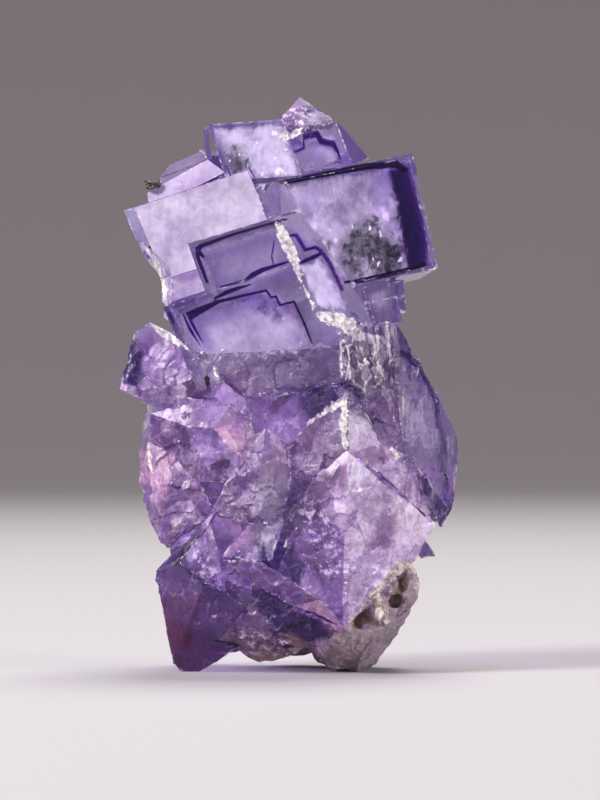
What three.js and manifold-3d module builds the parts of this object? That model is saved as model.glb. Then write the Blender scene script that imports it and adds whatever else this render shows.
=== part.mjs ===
// A hand specimen of purple phantom fluorite, about 35 mm wide and 60 mm tall.
//
// Intergrown cubes make the upper half. Cleaved and broken fluorite makes the lower half. All of it grew
// together, so it is one solid. The pale rock that it grew on is left under it at the lower right, and is
// part of what it stands on. One dark grain of another mineral sits on the upper left edge.
//
// Millimetres, +Z up, the front is -Y. The origin is on the surface that the specimen stands on,
// below the middle of it.

import * as THREE from "three";
import { ConvexGeometry } from "three/addons/geometries/ConvexGeometry.js";
import { mergeVertices } from "three/addons/utils/BufferGeometryUtils.js";
import Module from "manifold-3d";

const wasm = await Module();
wasm.setup();

// ---------------------------------------------------------------- driving dimensions
const SEAT_GAP = 0.3; // clearance between the fluorite and what sits against it
const BEVEL_DEPTH = 0.7; // how far a stepped face stands in front of the block's own edge
const SHARD_TAPER = 0.85; // how much a broken piece narrows towards its back
const CUTTER = 80; // side of the cubes that cut planes, larger than the specimen

// ---------------------------------------------------------------- points and solids
const vector = ([x, y, z]) => new THREE.Vector3(x, y, z);

function solidOf(geometry) {
  const bare = geometry.index ? geometry.toNonIndexed() : geometry.clone();
  bare.deleteAttribute("normal");
  bare.deleteAttribute("uv");
  const merged = mergeVertices(bare, 1e-4);
  return new wasm.Manifold(
    new wasm.Mesh({
      numProp: 3,
      vertProperties: new Float32Array(merged.attributes.position.array),
      triVerts: new Uint32Array(merged.index.array),
    }),
  );
}

const hull = (points) => solidOf(new ConvexGeometry(points));
const join = (solids) => solids.reduce((all, solid) => all.add(solid));

// The hull of the same points with SEAT_GAP added all round, to cut a seat that stays clear of them.
function grownHull(points) {
  const signs = [-SEAT_GAP, SEAT_GAP];
  const moved = [];
  for (const p of points)
    for (const i of signs)
      for (const j of signs)
        for (const k of signs) moved.push(p.clone().add(new THREE.Vector3(i, j, k)));
  return hull(moved);
}

// Everything on the side of a plane that its normal points to.
function halfSpace(point, normal) {
  const n = vector(normal).normalize();
  const turn = new THREE.Quaternion().setFromUnitVectors(new THREE.Vector3(0, 0, 1), n);
  const middle = vector(point).addScaledVector(n, CUTTER / 2);
  const box = new THREE.BoxGeometry(CUTTER, CUTTER, CUTTER);
  return solidOf(box.applyMatrix4(new THREE.Matrix4().compose(middle, turn, new THREE.Vector3(1, 1, 1))));
}

// Flat breaks, each given by a point on it and the direction that it faces.
const breakOff = (solid, breaks) =>
  breaks.reduce((rest, { at, facing }) => rest.subtract(halfSpace(at, facing)), solid);

// The normal of the plane through three points, which faces the front.
function frontNormal(a, b, c) {
  const n = new THREE.Vector3().crossVectors(vector(b).sub(vector(a)), vector(c).sub(vector(a)));
  return (n.y > 0 ? n.negate() : n).toArray();
}

// ---------------------------------------------------------------- the cubes
// Each cube has one corner of its front face, the two edges that leave that corner, and its depth square
// to the face. A bevel list, [left, right, top, bottom] in shares of the edges, sets a growth step: the
// face in front of the step stands BEVEL_DEPTH proud, drawn in by those shares.
const cubes = {
  topLeft: { corner: [-8.6, -7.2, 57.2], along: [7.8, -0.7, 0.5], down: [2.0, -1.4, -5.9], depth: 8 },
  left: {
    corner: [-17.3, -7.8, 48.2],
    along: [12.9, -1.1, 4.2],
    down: [4.1, -1.4, -9.8],
    depth: 10,
    bevel: [0.09, 0, 0.02, 0.22],
  },
  right: {
    corner: [-2.9, -9.0, 51.0],
    along: [15.7, 2.2, 3.2],
    down: [2.6, -0.4, -12.0],
    depth: 13,
    bevel: [0, 0.035, 0.03, 0.025],
  },
  middle: { corner: [-10.6, -10.2, 44.7], along: [13.6, -1.0, 4.0], down: [3.4, -1.2, -9.2], depth: 11 },
  front: { corner: [-13.1, -10.8, 38.1], along: [18.2, -1.5, 5.9], down: [3.6, -0.6, -8.6], depth: 12 },
  smallOuter: { corner: [6.3, -8.6, 40.0], along: [5.6, 1.4, 1.0], down: [0.2, 0.2, -3.4], depth: 8 },
  smallMiddle: { corner: [7.5, -9.0, 38.6], along: [3.6, 0.9, 0.7], down: [0.6, 0.1, -2.6], depth: 6 },
  smallInner: { corner: [5.6, -9.4, 40.1], along: [1.8, 0.3, 0.4], down: [1.5, -0.2, -4.0], depth: 6 },
  // the back of the specimen
  backTop: { corner: [-8.8, 1.4, 54.6], along: [11.4, 1.6, -1.4], down: [-1.2, 1.2, -11.2], depth: 8.5 },
  backRight: { corner: [2.4, 2.6, 49.2], along: [9.8, -1.6, 2.6], down: [2.4, 0.8, -9.4], depth: 9 },
  backLeft: { corner: [-10.6, 0.4, 45.0], along: [8.4, 1.8, -2.2], down: [-1.6, 0.8, -8.6], depth: 8.5 },
  backMiddle: { corner: [-5.4, 2.0, 41.4], along: [11.6, 0.8, 2.8], down: [2.4, 1.0, -11.4], depth: 10 },
  backLow: { corner: [-12.6, 0.2, 30.8], along: [10.8, 2.8, 2.2], down: [-1.6, 1.6, -10.2], depth: 8.5 },
  backFoot: { corner: [-9.9, 0.6, 13.0], along: [7.6, 2.2, 3.0], down: [-0.9, 0.8, -13.3], depth: 6 },
};

function cubeFrame({ corner, along, down, depth }) {
  const o = vector(corner);
  const a = vector(along);
  const d = vector(down);
  const back = new THREE.Vector3().crossVectors(a, d).normalize();
  if (back.y < 0) back.negate();
  const at = (u, v, w) => o.clone().addScaledVector(a, u).addScaledVector(d, v).addScaledVector(back, w);
  return { at, depth };
}

function cubePoints(cube) {
  const { at, depth } = cubeFrame(cube);
  return [0, depth].flatMap((w) => [at(0, 0, w), at(1, 0, w), at(1, 1, w), at(0, 1, w)]);
}

function stepPoints(cube) {
  const { at } = cubeFrame(cube);
  const [left, right, top, bottom] = cube.bevel;
  return [-BEVEL_DEPTH, BEVEL_DEPTH].flatMap((w) => [
    at(left, top, w), at(1 - right, top, w), at(1 - right, 1 - bottom, w), at(left, 1 - bottom, w),
  ]);
}

const cubeSolid = (cube) =>
  join([hull(cubePoints(cube)), ...(cube.bevel ? [hull(stepPoints(cube))] : [])]);

// ---------------------------------------------------------------- the broken and cleaved pieces
// Each piece lists the corners of its front and how far it runs back. A corner given as [x, z] lies in the
// plane of the piece's first three corners, so that the face is flat. Side corners lie off that plane and
// turn the piece's edge into a second face.
const shards = {
  tip: {
    front: [
      [1.0, -1.5, 60.5], [-1.2, -3.2, 57.7], [4.3, -3.2, 58.0], [2.6, -1.0, 59.2], [1.8, -4.6, 56.9],
      [-1.0, -3.4, 55.4], [4.0, -3.4, 55.6],
    ],
    depth: 5,
  },
  topCentre: {
    front: [[-0.7, -6.2, 55.9], [4.8, -6.2, 57.6], [0, -7.8, 52.2], [6.5, 52.9]],
    side: [[8.3, -3.0, 53.9], [5.8, -3.6, 57.0]],
    depth: 9,
  },
  topLeftSide: {
    front: [[-9.1, -4.2, 56.7], [-8.8, -4.6, 53.6], [-8.2, -7.2, 53.6], [-8.6, -7.2, 57.1]],
    depth: 5,
  },
  leftRear: { front: [[-14.9, -6.6, 50.1], [-8.6, -6.6, 53.6], [-6.8, -7.6, 52.2], [-14.6, 48.3]], depth: 6 },
  leftFar: {
    front: [
      [-13.6, -4.6, 51.8], [-12.7, -3.0, 53.2], [-9.4, -2.4, 54.7], [-8.6, -5.4, 53.8], [-13.6, -6.0, 49.9],
    ],
    depth: 6,
  },
  wedge: {
    front: [[-4.1, -9.0, 50.9], [-1.0, -9.9, 51.1], [-2.4, -10.6, 47.2], [-0.9, 47.6]],
    side: [[1.4, -9.0, 48.4]],
    depth: 6,
  },
  ledge: {
    front: [
      [-10.1, -11.0, 34.1], [5.2, -12.4, 34.8], [-4.4, -12.9, 28.9], [-4.8, 35.2], [5.9, 30.4], [1.0, 29.3],
      [-6.6, 30.6], [-8.8, 31.4],
    ],
    depth: 6,
  },
  shelf: {
    front: [
      [-11.4, -8.6, 30.6], [6.2, -10.0, 31.4], [-0.3, -11.4, 23.4], [6.4, 28.5], [1.9, 25.8], [-2.9, 25.2],
      [-6.0, 26.8], [-10.9, 27.9],
    ],
    depth: 7,
  },
  leftShoulder: {
    front: [
      [-16.2, -6.8, 35.5], [-8.6, -10.2, 31.2], [-17.2, -8.6, 29.4], [-14.6, 36.6], [-10.8, 34.7],
      [-11.4, 30.2],
    ],
    side: [[-13.5, -7.6, 27.4], [-17.8, -7.4, 29.6], [-8.1, -9.4, 28.5]],
    depth: 9,
  },
  pinkLump: {
    front: [
      [-14.5, -8.4, 27.1], [-11.0, -9.8, 28.1], [-6.0, -11.0, 28.3], [-4.0, -11.4, 26.6], [-3.6, -11.4, 24.8],
      [-4.0, -11.4, 21.7], [-6.6, -11.6, 20.0], [-9.3, -11.0, 19.9], [-12.0, -9.8, 22.7], [-14.8, -7.8, 24.8],
      [-7.8, -12.9, 25.6], [-6.4, -13.1, 23.8], [-10.7, -11.4, 25.8],
    ],
    depth: 8,
  },
  arch: {
    front: [
      [-3.6, -11.0, 25.0], [-2.5, -11.5, 25.7], [0, -11.4, 24.1], [-0.1, -12.0, 20.3], [-0.6, -12.4, 16.1],
      [-4.1, -12.4, 15.7], [-8.0, -11.4, 16.9], [-6.6, -11.7, 19.9], [-2.9, -12.4, 22.6],
    ],
    depth: 8,
  },
  leftFlank: {
    front: [
      [-14.9, -7.6, 24.3], [-15.6, -6.8, 22.2], [-15.8, -6.4, 19.9], [-14.7, -7.0, 16.5], [-13.5, -7.6, 13.8],
      [-12.7, -8.0, 13.3], [-7.8, -11.0, 16.9], [-9.2, -10.8, 19.8], [-11.9, -9.6, 22.6],
      [-12.6, -10.3, 19.0],
    ],
    depth: 9,
  },
  whitePeak: {
    front: [
      [5.8, -12.8, 28.8], [-0.4, -10.8, 23.6], [6.0, -13.2, 23.2], [1.9, 26.0], [-0.6, 20.4], [2.3, 20.2],
    ],
    side: [[9.2, -11.2, 23.8], [9.1, -11.2, 25.0], [7.4, -11.9, 28.0]],
    depth: 7,
  },
  rightFace: {
    front: [
      [11.0, -6.6, 36.7], [17.7, -3.4, 21.3], [12.0, -10.2, 22.0], [12.0, 34.8], [13.6, 32.3], [15.0, 30.0],
      [16.5, 27.5], [17.4, 24.8], [17.0, 17.2], [15.8, 15.1], [11.8, 28.5], [10.6, 33.5],
    ],
    depth: 11,
  },
  recess: {
    front: [[7.2, -10.2, 28.8], [11.9, -10.2, 24.4], [9.2, -11.1, 23.8], [9.4, 29.7], [10.5, 23.4]],
    depth: 5,
  },
  greatFace: {
    front: [
      [5.9, -13.3, 23.2], [5.4, -11.4, 4.9], [15.0, -8.8, 15.6], [13.6, 13.1], [13.3, 12.2], [10.5, 10.6],
      [7.4, 7.2],
    ],
    side: [[2.5, -12.9, 20.3], [0, -12.5, 16.4], [-0.7, -12.3, 12.0], [0.8, -12.0, 8.7]],
    depth: 8,
  },
  greatFaceRim: {
    front: [
      [6.2, -12.7, 23.4], [15.2, -8.0, 15.6], [12.3, -9.8, 22.7], [9.3, 23.8], [10.8, 23.5], [16.6, 17.1],
    ],
    depth: 6,
  },
  rightSpur: {
    front: [[13.9, -8.6, 14.0], [15.2, -7.8, 12.2], [13.6, -8.6, 12.0], [13.0, -8.8, 13.0]],
    depth: 3,
  },
  darkBlade: {
    front: [[-14.1, -6.4, 10.4], [-7.6, -11.8, 17.0], [-11.6, -9.4, 11.9], [-10.4, 13.9], [-8.4, 15.6]],
    depth: 6,
  },
  brightTriangle: {
    front: [[-8.2, -11.4, 15.8], [-11.6, -9.6, 11.9], [-8.7, -12.0, 9.9], [-7.0, -12.0, 10.8]],
    depth: 5,
  },
  lowerLeft: {
    front: [
      [-14.1, -6.2, 10.3], [-13.0, -5.8, 7.4], [-12.8, -5.2, 5.3], [-12.3, -4.2, 1.1], [-11.2, -3.6, -0.4],
      [-10.2, -3.4, -0.4], [-9.4, -3.8, 0.3], [-7.4, -5.4, 2.7], [-5.2, -7.0, 2.7], [-4.1, -10.4, 6.8],
      [-8.7, -11.4, 9.9], [-11.6, -9.0, 11.9],
    ],
    depth: 6,
  },
  greyFacet: {
    front: [[-7.0, -12.0, 12.4], [-0.7, -12.3, 16.1], [-4.1, -13.0, 11.8], [-4.1, 15.8], [-2.0, 12.0]],
    depth: 5,
  },
  longBlade: {
    front: [[-7.0, -12.4, 12.0], [5.7, -11.4, 5.0], [-1.4, -13.2, 10.8], [-4.0, 12.0], [3.1, 7.9]],
    side: [[-3.9, -11.8, 9.6], [0.4, -11.6, 7.3]],
    depth: 3,
  },
  darkFacet: { front: [[-3.9, -11.9, 9.8], [0.4, -11.6, 7.2], [-1.5, -9.6, 4.6], [-3.9, 8.0]], depth: 4 },
  underside: {
    front: [
      [-6.6, -11.0, 9.9], [-3.9, -11.0, 7.8], [0.2, -11.0, 7.2], [5.4, -10.6, 4.9], [1.0, -7.4, 2.5],
      [-0.4, -7.4, 3.0], [-2.0, -5.6, 1.3], [-3.4, -5.6, 1.4], [-5.2, -6.2, 2.6], [-7.3, -7.6, 3.5],
    ],
    depth: 8,
  },
  backFootTip: {
    front: [[-11.4, 2.6, 4.0], [-8.2, 2.6, 4.4], [-10.8, 3.0, -0.5], [-9.4, 3.2, -0.5]],
    depth: 4,
  },
  upperCore: {
    front: [
      [-11.5, -6.0, 47.0], [-6.8, -6.0, 52.5], [3.6, -5.6, 54.5], [9.4, -5.4, 50.5], [10.4, -6.4, 41.0],
      [9.6, -7.4, 34.0], [5.6, -9.4, 34.0], [-9.8, -8.8, 33.0],
    ],
    depth: 13,
  },
  lowerCore: {
    front: [
      [-13.0, -6.4, 31.0], [-9.0, -8.4, 34.4], [4.0, -9.6, 36.0], [10.4, -8.6, 34.0], [14.4, -5.0, 26.0],
      [15.0, -5.0, 18.0], [12.4, -7.6, 12.0], [5.0, -9.0, 6.4], [-5.0, -9.0, 5.4], [-11.6, -6.2, 8.0],
      [-13.4, -5.8, 18.0], [-5.0, -10.6, 24.0], [8.0, -10.2, 22.0],
    ],
    depth: 15,
  },
};

// The corners of a piece's front as vectors, with each [x, z] corner placed on the plane.
function frontPoints(front) {
  const [a, b, c] = front.slice(0, 3).map(vector);
  const n = new THREE.Vector3().crossVectors(b.clone().sub(a), c.clone().sub(a));
  return front.map((corner) => {
    if (corner.length === 3) return vector(corner);
    const [x, z] = corner;
    return new THREE.Vector3(x, a.y - (n.x * (x - a.x) + n.z * (z - a.z)) / n.y, z);
  });
}

function shardPoints({ front, side = [], depth }) {
  const points = [...frontPoints(front), ...side.map(vector)];
  const sum = points.reduce((total, p) => total.add(p), new THREE.Vector3());
  const middle = sum.divideScalar(points.length);
  const back = points.map((p) => {
    const q = p.clone().lerp(middle, 1 - SHARD_TAPER);
    q.y = middle.y + depth;
    return q;
  });
  return [...points, ...back];
}

// ---------------------------------------------------------------- the fluted break
// Upright splinters below the right cube, side by side, each a narrow prism with a sharp front edge.
const SPLINTERS = 7;
const SPLINTERS_FROM = [5.3, -11.6, 36.4];
const SPLINTERS_TO = [11.0, -9.0, 36.6];
const SPLINTER_LENGTH = 7.4;

function splinterPoints(i) {
  const share = (i + 0.5) / SPLINTERS;
  const top = vector(SPLINTERS_FROM).lerp(vector(SPLINTERS_TO), share);
  const half = (SPLINTERS_TO[0] - SPLINTERS_FROM[0]) / SPLINTERS / 1.6;
  const reach = 0.5 + 0.5 * Math.abs(Math.sin(i * 2.1 + 0.6));
  const length = SPLINTER_LENGTH * (0.62 + 0.3 * Math.abs(Math.sin(i * 1.7 + 1)));
  const lean = 0.5 + 0.4 * Math.sin(i * 2.7);
  const edge = (x, y, z) => top.clone().add(new THREE.Vector3(x, y, z));
  return [
    edge(0, -reach, -0.7), edge(lean, -reach, -length + 0.9),
    edge(-half, 0.5, 0), edge(half, 0.5, -0.2),
    edge(lean - half, 0.5, -length), edge(lean + half, 0.5, -length),
    edge(-half, 4, 0), edge(half, 4, 0),
    edge(lean - half, 4, -length), edge(lean + half, 4, -length),
  ];
}

// ---------------------------------------------------------------- the fluorite
// The corner of the middle and front cubes is cleaved off: the ridge is the cleavage's left edge.
const RIDGE_TOP = [-1.7, -11.4, 47.0];
const RIDGE_FOOT = [3.1, -12.4, 37.3];
const CLEAVAGE_FAR = [2.2, -8.6, 48.3];
const cleavage = halfSpace(RIDGE_TOP, frontNormal(RIDGE_TOP, RIDGE_FOOT, CLEAVAGE_FAR));
const cleavedNames = ["middle", "front"];
const cleaved = join(cleavedNames.map((name) => cubeSolid(cubes[name]))).subtract(cleavage);

// The left cube's lower left edge is broken off along an outline of x and z, and slanted at the front.
const chipOutline = [
  [-16.0, 44.5], [-13.8, 42.1], [-13.2, 40.7], [-13.15, 38.0], [-18.5, 38.0], [-18.5, 44.5],
];
const chipAt = (y, inset) => chipOutline.map(([x, z]) => vector([x + inset, y, z + inset / 2]));
const chip = join([
  hull([...chipAt(-12, 0), ...chipAt(8, 0)]),
  hull([...chipAt(-10.8, 1.5), ...chipAt(-6.8, 0)]),
]);
const chipped = cubeSolid(cubes.left).subtract(chip);
const special = [...cleavedNames, "left"];
const whole = Object.entries(cubes)
  .filter(([name]) => !special.includes(name))
  .map(([, cube]) => cubeSolid(cube));
const broken = Object.values(shards).map((shard) => hull(shardPoints(shard)));
const splinters = Array.from({ length: SPLINTERS }, (_, i) => hull(splinterPoints(i)));
const ground = halfSpace([0, 0, 0], [0, 0, -1]);
const fluorite = join([cleaved, chipped, ...whole, ...broken, ...splinters]).subtract(ground);

// ---------------------------------------------------------------- rock and grain
// A lump is a stretched ball with a bumpy surface, the bumps a sum of sines over its direction.
function lump({ at, radii, detail, rough, seed }) {
  const ball = new THREE.BufferGeometry();
  ball.setAttribute("position", new THREE.IcosahedronGeometry(1, detail).attributes.position);
  const merged = mergeVertices(ball, 1e-4);
  const p = merged.attributes.position;
  for (let i = 0; i < p.count; i++) {
    const v = new THREE.Vector3().fromBufferAttribute(p, i);
    const wave =
      Math.sin(3.1 * v.x + seed) * Math.cos(2.7 * v.y - seed) +
      0.6 * Math.sin(6.3 * v.z + 4.1 * v.x + seed * 2) +
      0.4 * Math.sin(11 * v.y + 9 * v.z + seed * 3) +
      0.3 * Math.cos(15 * v.x - 12 * v.z + seed);
    const bump = 1 + rough * wave;
    p.setXYZ(i, at[0] + v.x * radii[0] * bump, at[1] + v.y * radii[1] * bump, at[2] + v.z * radii[2] * bump);
  }
  return solidOf(merged);
}

const seat = join([
  ...Object.values(cubes).map((cube) => grownHull(cubePoints(cube))),
  ...Object.values(shards).map((shard) => grownHull(shardPoints(shard))),
]);
const rockLumps = [
  { at: [7.2, -1.6, 5.9], radii: [6.3, 8.2, 6.8], detail: 11, rough: 0.07, seed: 2.2 },
  { at: [0.6, 1.6, 6.0], radii: [7.4, 7.2, 4.2], detail: 9, rough: 0.07, seed: 0.9 },
];
// The rock's rim stands up along the crystal's edge.
const rockRim = [
  { at: [11.4, -6.4, 8.9], radii: [1.9, 3.0, 2.8], detail: 6, rough: 0.06, seed: 1.1 },
  { at: [10.3, -9.0, 9.3], radii: [0.9, 1.5, 1.0], detail: 4, rough: 0.1, seed: 0.3 },
  { at: [9.1, -9.5, 8.0], radii: [0.8, 1.7, 1.0], detail: 4, rough: 0.1, seed: 1.9 },
  { at: [9.5, -9.0, 6.4], radii: [0.8, 1.4, 1.3], detail: 4, rough: 0.1, seed: 2.6 },
];
const rockPits = [
  { at: [7.7, -10.2, 5.6], radii: [1.4, 2.6, 1.3], detail: 4, rough: 0.1, seed: 0.4 },
  { at: [11.6, -9.6, 9.7], radii: [0.8, 1.9, 1.2], detail: 4, rough: 0.1, seed: 1.4 },
  { at: [11.0, -9.0, 7.6], radii: [0.8, 1.6, 0.9], detail: 4, rough: 0.1, seed: 2.4 },
];
const rock = breakOff(join(rockLumps.map(lump)), [
  { at: [13.3, -2, 8.9], facing: [0.9, -0.1, -0.42] },
  { at: [11.5, -2, 5.0], facing: [0.78, -0.2, -0.6] },
  { at: [10.6, 3, 4.0], facing: [0.6, 0.6, -0.5] },
])
  .add(join(rockRim.map(lump)))
  .subtract(join(rockPits.map(lump)))
  .subtract(ground)
  .subtract(seat);
const grainLump = { at: [-14.1, -6.6, 50.8], radii: [1.0, 0.8, 0.7], detail: 3, rough: 0.1, seed: 1.1 };
const grain = lump(grainLump).subtract(seat);

// ---------------------------------------------------------------- the specimen
const finish = {
  fluorite: new THREE.MeshStandardMaterial({ color: 0x9a86c4, roughness: 0.1, metalness: 0 }),
  rock: new THREE.MeshStandardMaterial({ color: 0xa3958a, roughness: 0.85, metalness: 0 }),
  grain: new THREE.MeshStandardMaterial({ color: 0x3a2e2a, roughness: 0.4, metalness: 0 }),
};

function meshOf(name, solid, material) {
  const [body] = solid.decompose().sort((a, b) => b.volume() - a.volume());
  const { vertProperties, triVerts } = body.getMesh();
  const geometry = new THREE.BufferGeometry();
  geometry.setAttribute("position", new THREE.BufferAttribute(vertProperties, 3));
  geometry.setIndex(new THREE.BufferAttribute(triVerts, 1));
  const mesh = new THREE.Mesh(geometry, material);
  mesh.name = name;
  return mesh;
}

const specimen = new THREE.Group();
specimen.add(meshOf("fluorite", fluorite, finish.fluorite));
specimen.add(meshOf("matrix_rock", rock, finish.rock));
specimen.add(meshOf("dark_grain", grain, finish.grain));

export default specimen;
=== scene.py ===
"""A hand specimen of phantom fluorite: clear and milky purple cubes with dark growth zones inside them,
grown on broken purple fluorite with a foot of pale rock.

The tables hold millimetres and the meshes hold metres. +Z is up and the front is -Y.
"""

import math

import bmesh
import bpy
import numpy as np

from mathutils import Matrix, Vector
from mathutils.kdtree import KDTree


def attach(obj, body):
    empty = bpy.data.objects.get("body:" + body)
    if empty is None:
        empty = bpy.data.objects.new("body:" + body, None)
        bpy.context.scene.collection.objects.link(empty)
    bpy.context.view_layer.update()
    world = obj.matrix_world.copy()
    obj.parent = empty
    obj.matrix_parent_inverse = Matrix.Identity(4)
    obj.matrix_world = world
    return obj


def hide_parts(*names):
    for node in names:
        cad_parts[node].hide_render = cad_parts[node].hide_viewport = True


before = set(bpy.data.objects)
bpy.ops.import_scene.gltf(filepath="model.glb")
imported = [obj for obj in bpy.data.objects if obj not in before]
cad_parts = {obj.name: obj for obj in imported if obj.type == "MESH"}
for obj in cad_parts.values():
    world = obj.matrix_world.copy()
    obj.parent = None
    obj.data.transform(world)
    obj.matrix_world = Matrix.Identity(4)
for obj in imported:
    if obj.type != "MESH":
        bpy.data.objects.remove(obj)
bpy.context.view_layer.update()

bl_info = {
    "name": "Phantom fluorite specimen",
    "version": (1, 0, 0),
    "blender": (4, 5, 0),
    "location": "3D View > Sidebar > Fluorite",
    "description": "Dresses a solid specimen of phantom fluorite with its crystal, growth zones and rock",
    "category": "Object",
}

MM = 0.001
SAME_POINT = 2e-6  # corners nearer than this, in metres, are one
FLAT_COSINE = 0.9998  # faces that agree better than this are one facet
FEW_EDGES = 100  # refining stops when fewer long edges are left
TINY = 1e-12
FAR = 1e9
LATTICE_KEYS = (73856093, 19349663, 83492791, 2654435761)  # large odd numbers for x, y, z and the seed
DRAW_FACTOR, DRAW_STEP, DRAW_RANGE = 1103515245, 12345, 2**31
OUTSIDE = -9.0  # marks a place as far outside an outline
CLEAR = (1, 1, 1, 1)
FLUORITE_IOR = 1.434


# ---------------------------------------------------------------- numbers in a material
class Value:
    """A number in a material. Arithmetic on it adds Math nodes to that material."""

    def __init__(self, finish, socket):
        self.finish = finish
        self.socket = socket

    def math(self, operation, *others, first=None, clamp=False):
        items = (self, *others) if first is None else (first, self, *others)
        node = self.finish.node(
            "ShaderNodeMath", {"operation": operation, "use_clamp": clamp}, dict(enumerate(items))
        )
        return Value(self.finish, node.outputs[0])

    def __add__(self, other):
        return self.math("ADD", other)

    def __radd__(self, other):
        return self.math("ADD", other)

    def __sub__(self, other):
        return self.math("SUBTRACT", other)

    def __rsub__(self, other):
        return self.math("SUBTRACT", first=other)

    def __mul__(self, other):
        return self.math("MULTIPLY", other)

    def __rmul__(self, other):
        return self.math("MULTIPLY", other)

    def clamp(self):
        return self.math("ADD", 0.0, clamp=True)

    def between(self, low, high):
        """0 below low, 1 above high and a smooth rise between them."""
        node = self.finish.node(
            "ShaderNodeMapRange",
            {"interpolation_type": "SMOOTHSTEP"},
            {"Value": self, "From Min": low, "From Max": high},
        )
        return Value(self.finish, node.outputs[0])

    def most(self, other):
        return self.math("MAXIMUM", other)

    def least(self, other):
        return self.math("MINIMUM", other)


class Finish:
    """A material under construction. node() adds any node other than a Math node."""

    def __init__(self, name):
        self.material = bpy.data.materials.new(name)
        self.material.use_nodes = True
        self.tree = self.material.node_tree
        self.tree.nodes.clear()

    def plug(self, socket, item):
        """Links a Value or a node's output to the socket, or sets the socket to a number or a colour code."""
        if isinstance(item, Value):
            item = item.socket
        if isinstance(item, bpy.types.NodeSocket):
            self.tree.links.new(item, socket)
        else:
            socket.default_value = rgb(item) if isinstance(item, str) else item

    def node(self, kind, settings=None, inputs=None):
        node = self.tree.nodes.new(kind)
        for key, setting in (settings or {}).items():
            if key == "stops":
                self.fill_ramp(node.color_ramp, setting)
            else:
                setattr(node, key, setting)
        for key, item in (inputs or {}).items():
            self.plug(node.inputs[key], item)
        return node

    @staticmethod
    def fill_ramp(ramp, stops):
        while len(ramp.elements) < len(stops):
            ramp.elements.new(0.5)
        for element, (place, colour) in zip(ramp.elements, stops):
            element.position = place
            element.color = colour

    def place(self):
        return self.node("ShaderNodeTexCoord").outputs["Object"]

    def attribute(self, name, colour=False):
        node = self.node("ShaderNodeAttribute", {"attribute_name": name})
        return node.outputs["Color"] if colour else Value(self, node.outputs["Fac"])

    def noise(self, place, size, detail=3.0, roughness=0.5, distortion=0.0, seed=0.0):
        """Soft noise from 0 to 1, with lumps about size millimetres across."""
        node = self.node(
            "ShaderNodeTexNoise",
            {"noise_dimensions": "4D"},
            {
                "Vector": place, "Scale": 1 / (size * MM), "Detail": detail, "Roughness": roughness,
                "Distortion": distortion, "W": seed,
            },
        )
        return Value(self, node.outputs[0])

    def warped(self, place, size, amount, seed):
        """The place, moved by up to amount millimetres by noise of a size."""
        node = self.node(
            "ShaderNodeTexNoise",
            {"noise_dimensions": "4D"},
            {"Vector": place, "Scale": 1 / (size * MM), "Detail": 3.0, "W": seed},
        )
        shift = {0: node.outputs["Color"], 1: (amount * MM,) * 3, 2: place}
        return self.node("ShaderNodeVectorMath", {"operation": "MULTIPLY_ADD"}, shift).outputs[0]

    def shards(self, place, size):
        """Angular cells about size millimetres across: each one's number, and how far its border is."""
        inputs = {"Vector": place, "Scale": 1 / (size * MM), "Randomness": 1.0}
        cell = self.node("ShaderNodeTexVoronoi", {"feature": "F1"}, inputs)
        border = self.node("ShaderNodeTexVoronoi", {"feature": "DISTANCE_TO_EDGE"}, inputs)
        chance = self.node("ShaderNodeSeparateColor", {}, {0: cell.outputs["Color"]}).outputs[0]
        return Value(self, chance), Value(self, border.outputs["Distance"])

    def turned(self, place, angles=(0, 0, 0), scale=(1, 1, 1)):
        inputs = {"Vector": place, "Rotation": angles, "Scale": scale}
        return self.node("ShaderNodeMapping", {}, inputs).outputs[0]

    def blend(self, share, first, second, kind="MIX"):
        """The second colour over the first by a share from 0 to 1."""
        settings = {"data_type": "RGBA", "blend_type": kind}
        return self.node("ShaderNodeMix", settings, {0: share, 6: first, 7: second}).outputs[2]

    def layers(self, colour, *coats):
        """The colour under coats of other colours, laid on in turn, each by its own share."""
        for share, coat in coats:
            colour = self.blend(share, colour, coat)
        return colour

    def ramp(self, value, stops):
        """The colour that a list of places and colour codes gives to a value."""
        stops = [(place, rgb(code)) for place, code in stops]
        return self.node("ShaderNodeValToRGB", {"stops": stops}, {0: value}).outputs[0]

    def bump(self, height, distance, strength=1.0, under=None):
        inputs = {"Height": height, "Distance": distance * MM, "Strength": strength}
        node = self.node("ShaderNodeBump", {}, inputs)
        if under is not None:
            self.plug(node.inputs["Normal"], under)
        return node.outputs[0]

    def principled(self, **inputs):
        named = {key.replace("_", " ").title().replace("Ior", "IOR"): item for key, item in inputs.items()}
        return self.node("ShaderNodeBsdfPrincipled", {}, named).outputs[0]

    def mix_shaders(self, share, first, second):
        return self.node("ShaderNodeMixShader", {}, {0: share, 1: first, 2: second}).outputs[0]

    def clear(self, colour=CLEAR):
        return self.node("ShaderNodeBsdfTransparent", {}, {"Color": colour}).outputs[0]

    def absorbs(self, colour, density):
        inputs = {"Color": (*colour, 1), "Density": density}
        return self.node("ShaderNodeVolumeAbsorption", {}, inputs).outputs[0]

    def lets_lamps_in(self, shader, colour, share):
        """The shader, with a share of it transparent to the rays that look for lamps."""
        path = Value(self, self.node("ShaderNodeLightPath").outputs["Is Shadow Ray"])
        clear = self.clear(colour)
        return self.mix_shaders(path * share, shader, clear)

    def done(self, surface, volume=None):
        out = self.node("ShaderNodeOutputMaterial", {}, {"Surface": surface})
        if volume is not None:
            self.plug(out.inputs["Volume"], volume)
        return self.material


def rgb(code):
    """A colour for a shader from its six-digit screen code."""
    parts = [int(code[i:i + 2], 16) / 255 for i in (0, 2, 4)]
    return (*[p / 12.92 if p <= 0.04045 else ((p + 0.055) / 1.055) ** 2.4 for p in parts], 1.0)


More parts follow.
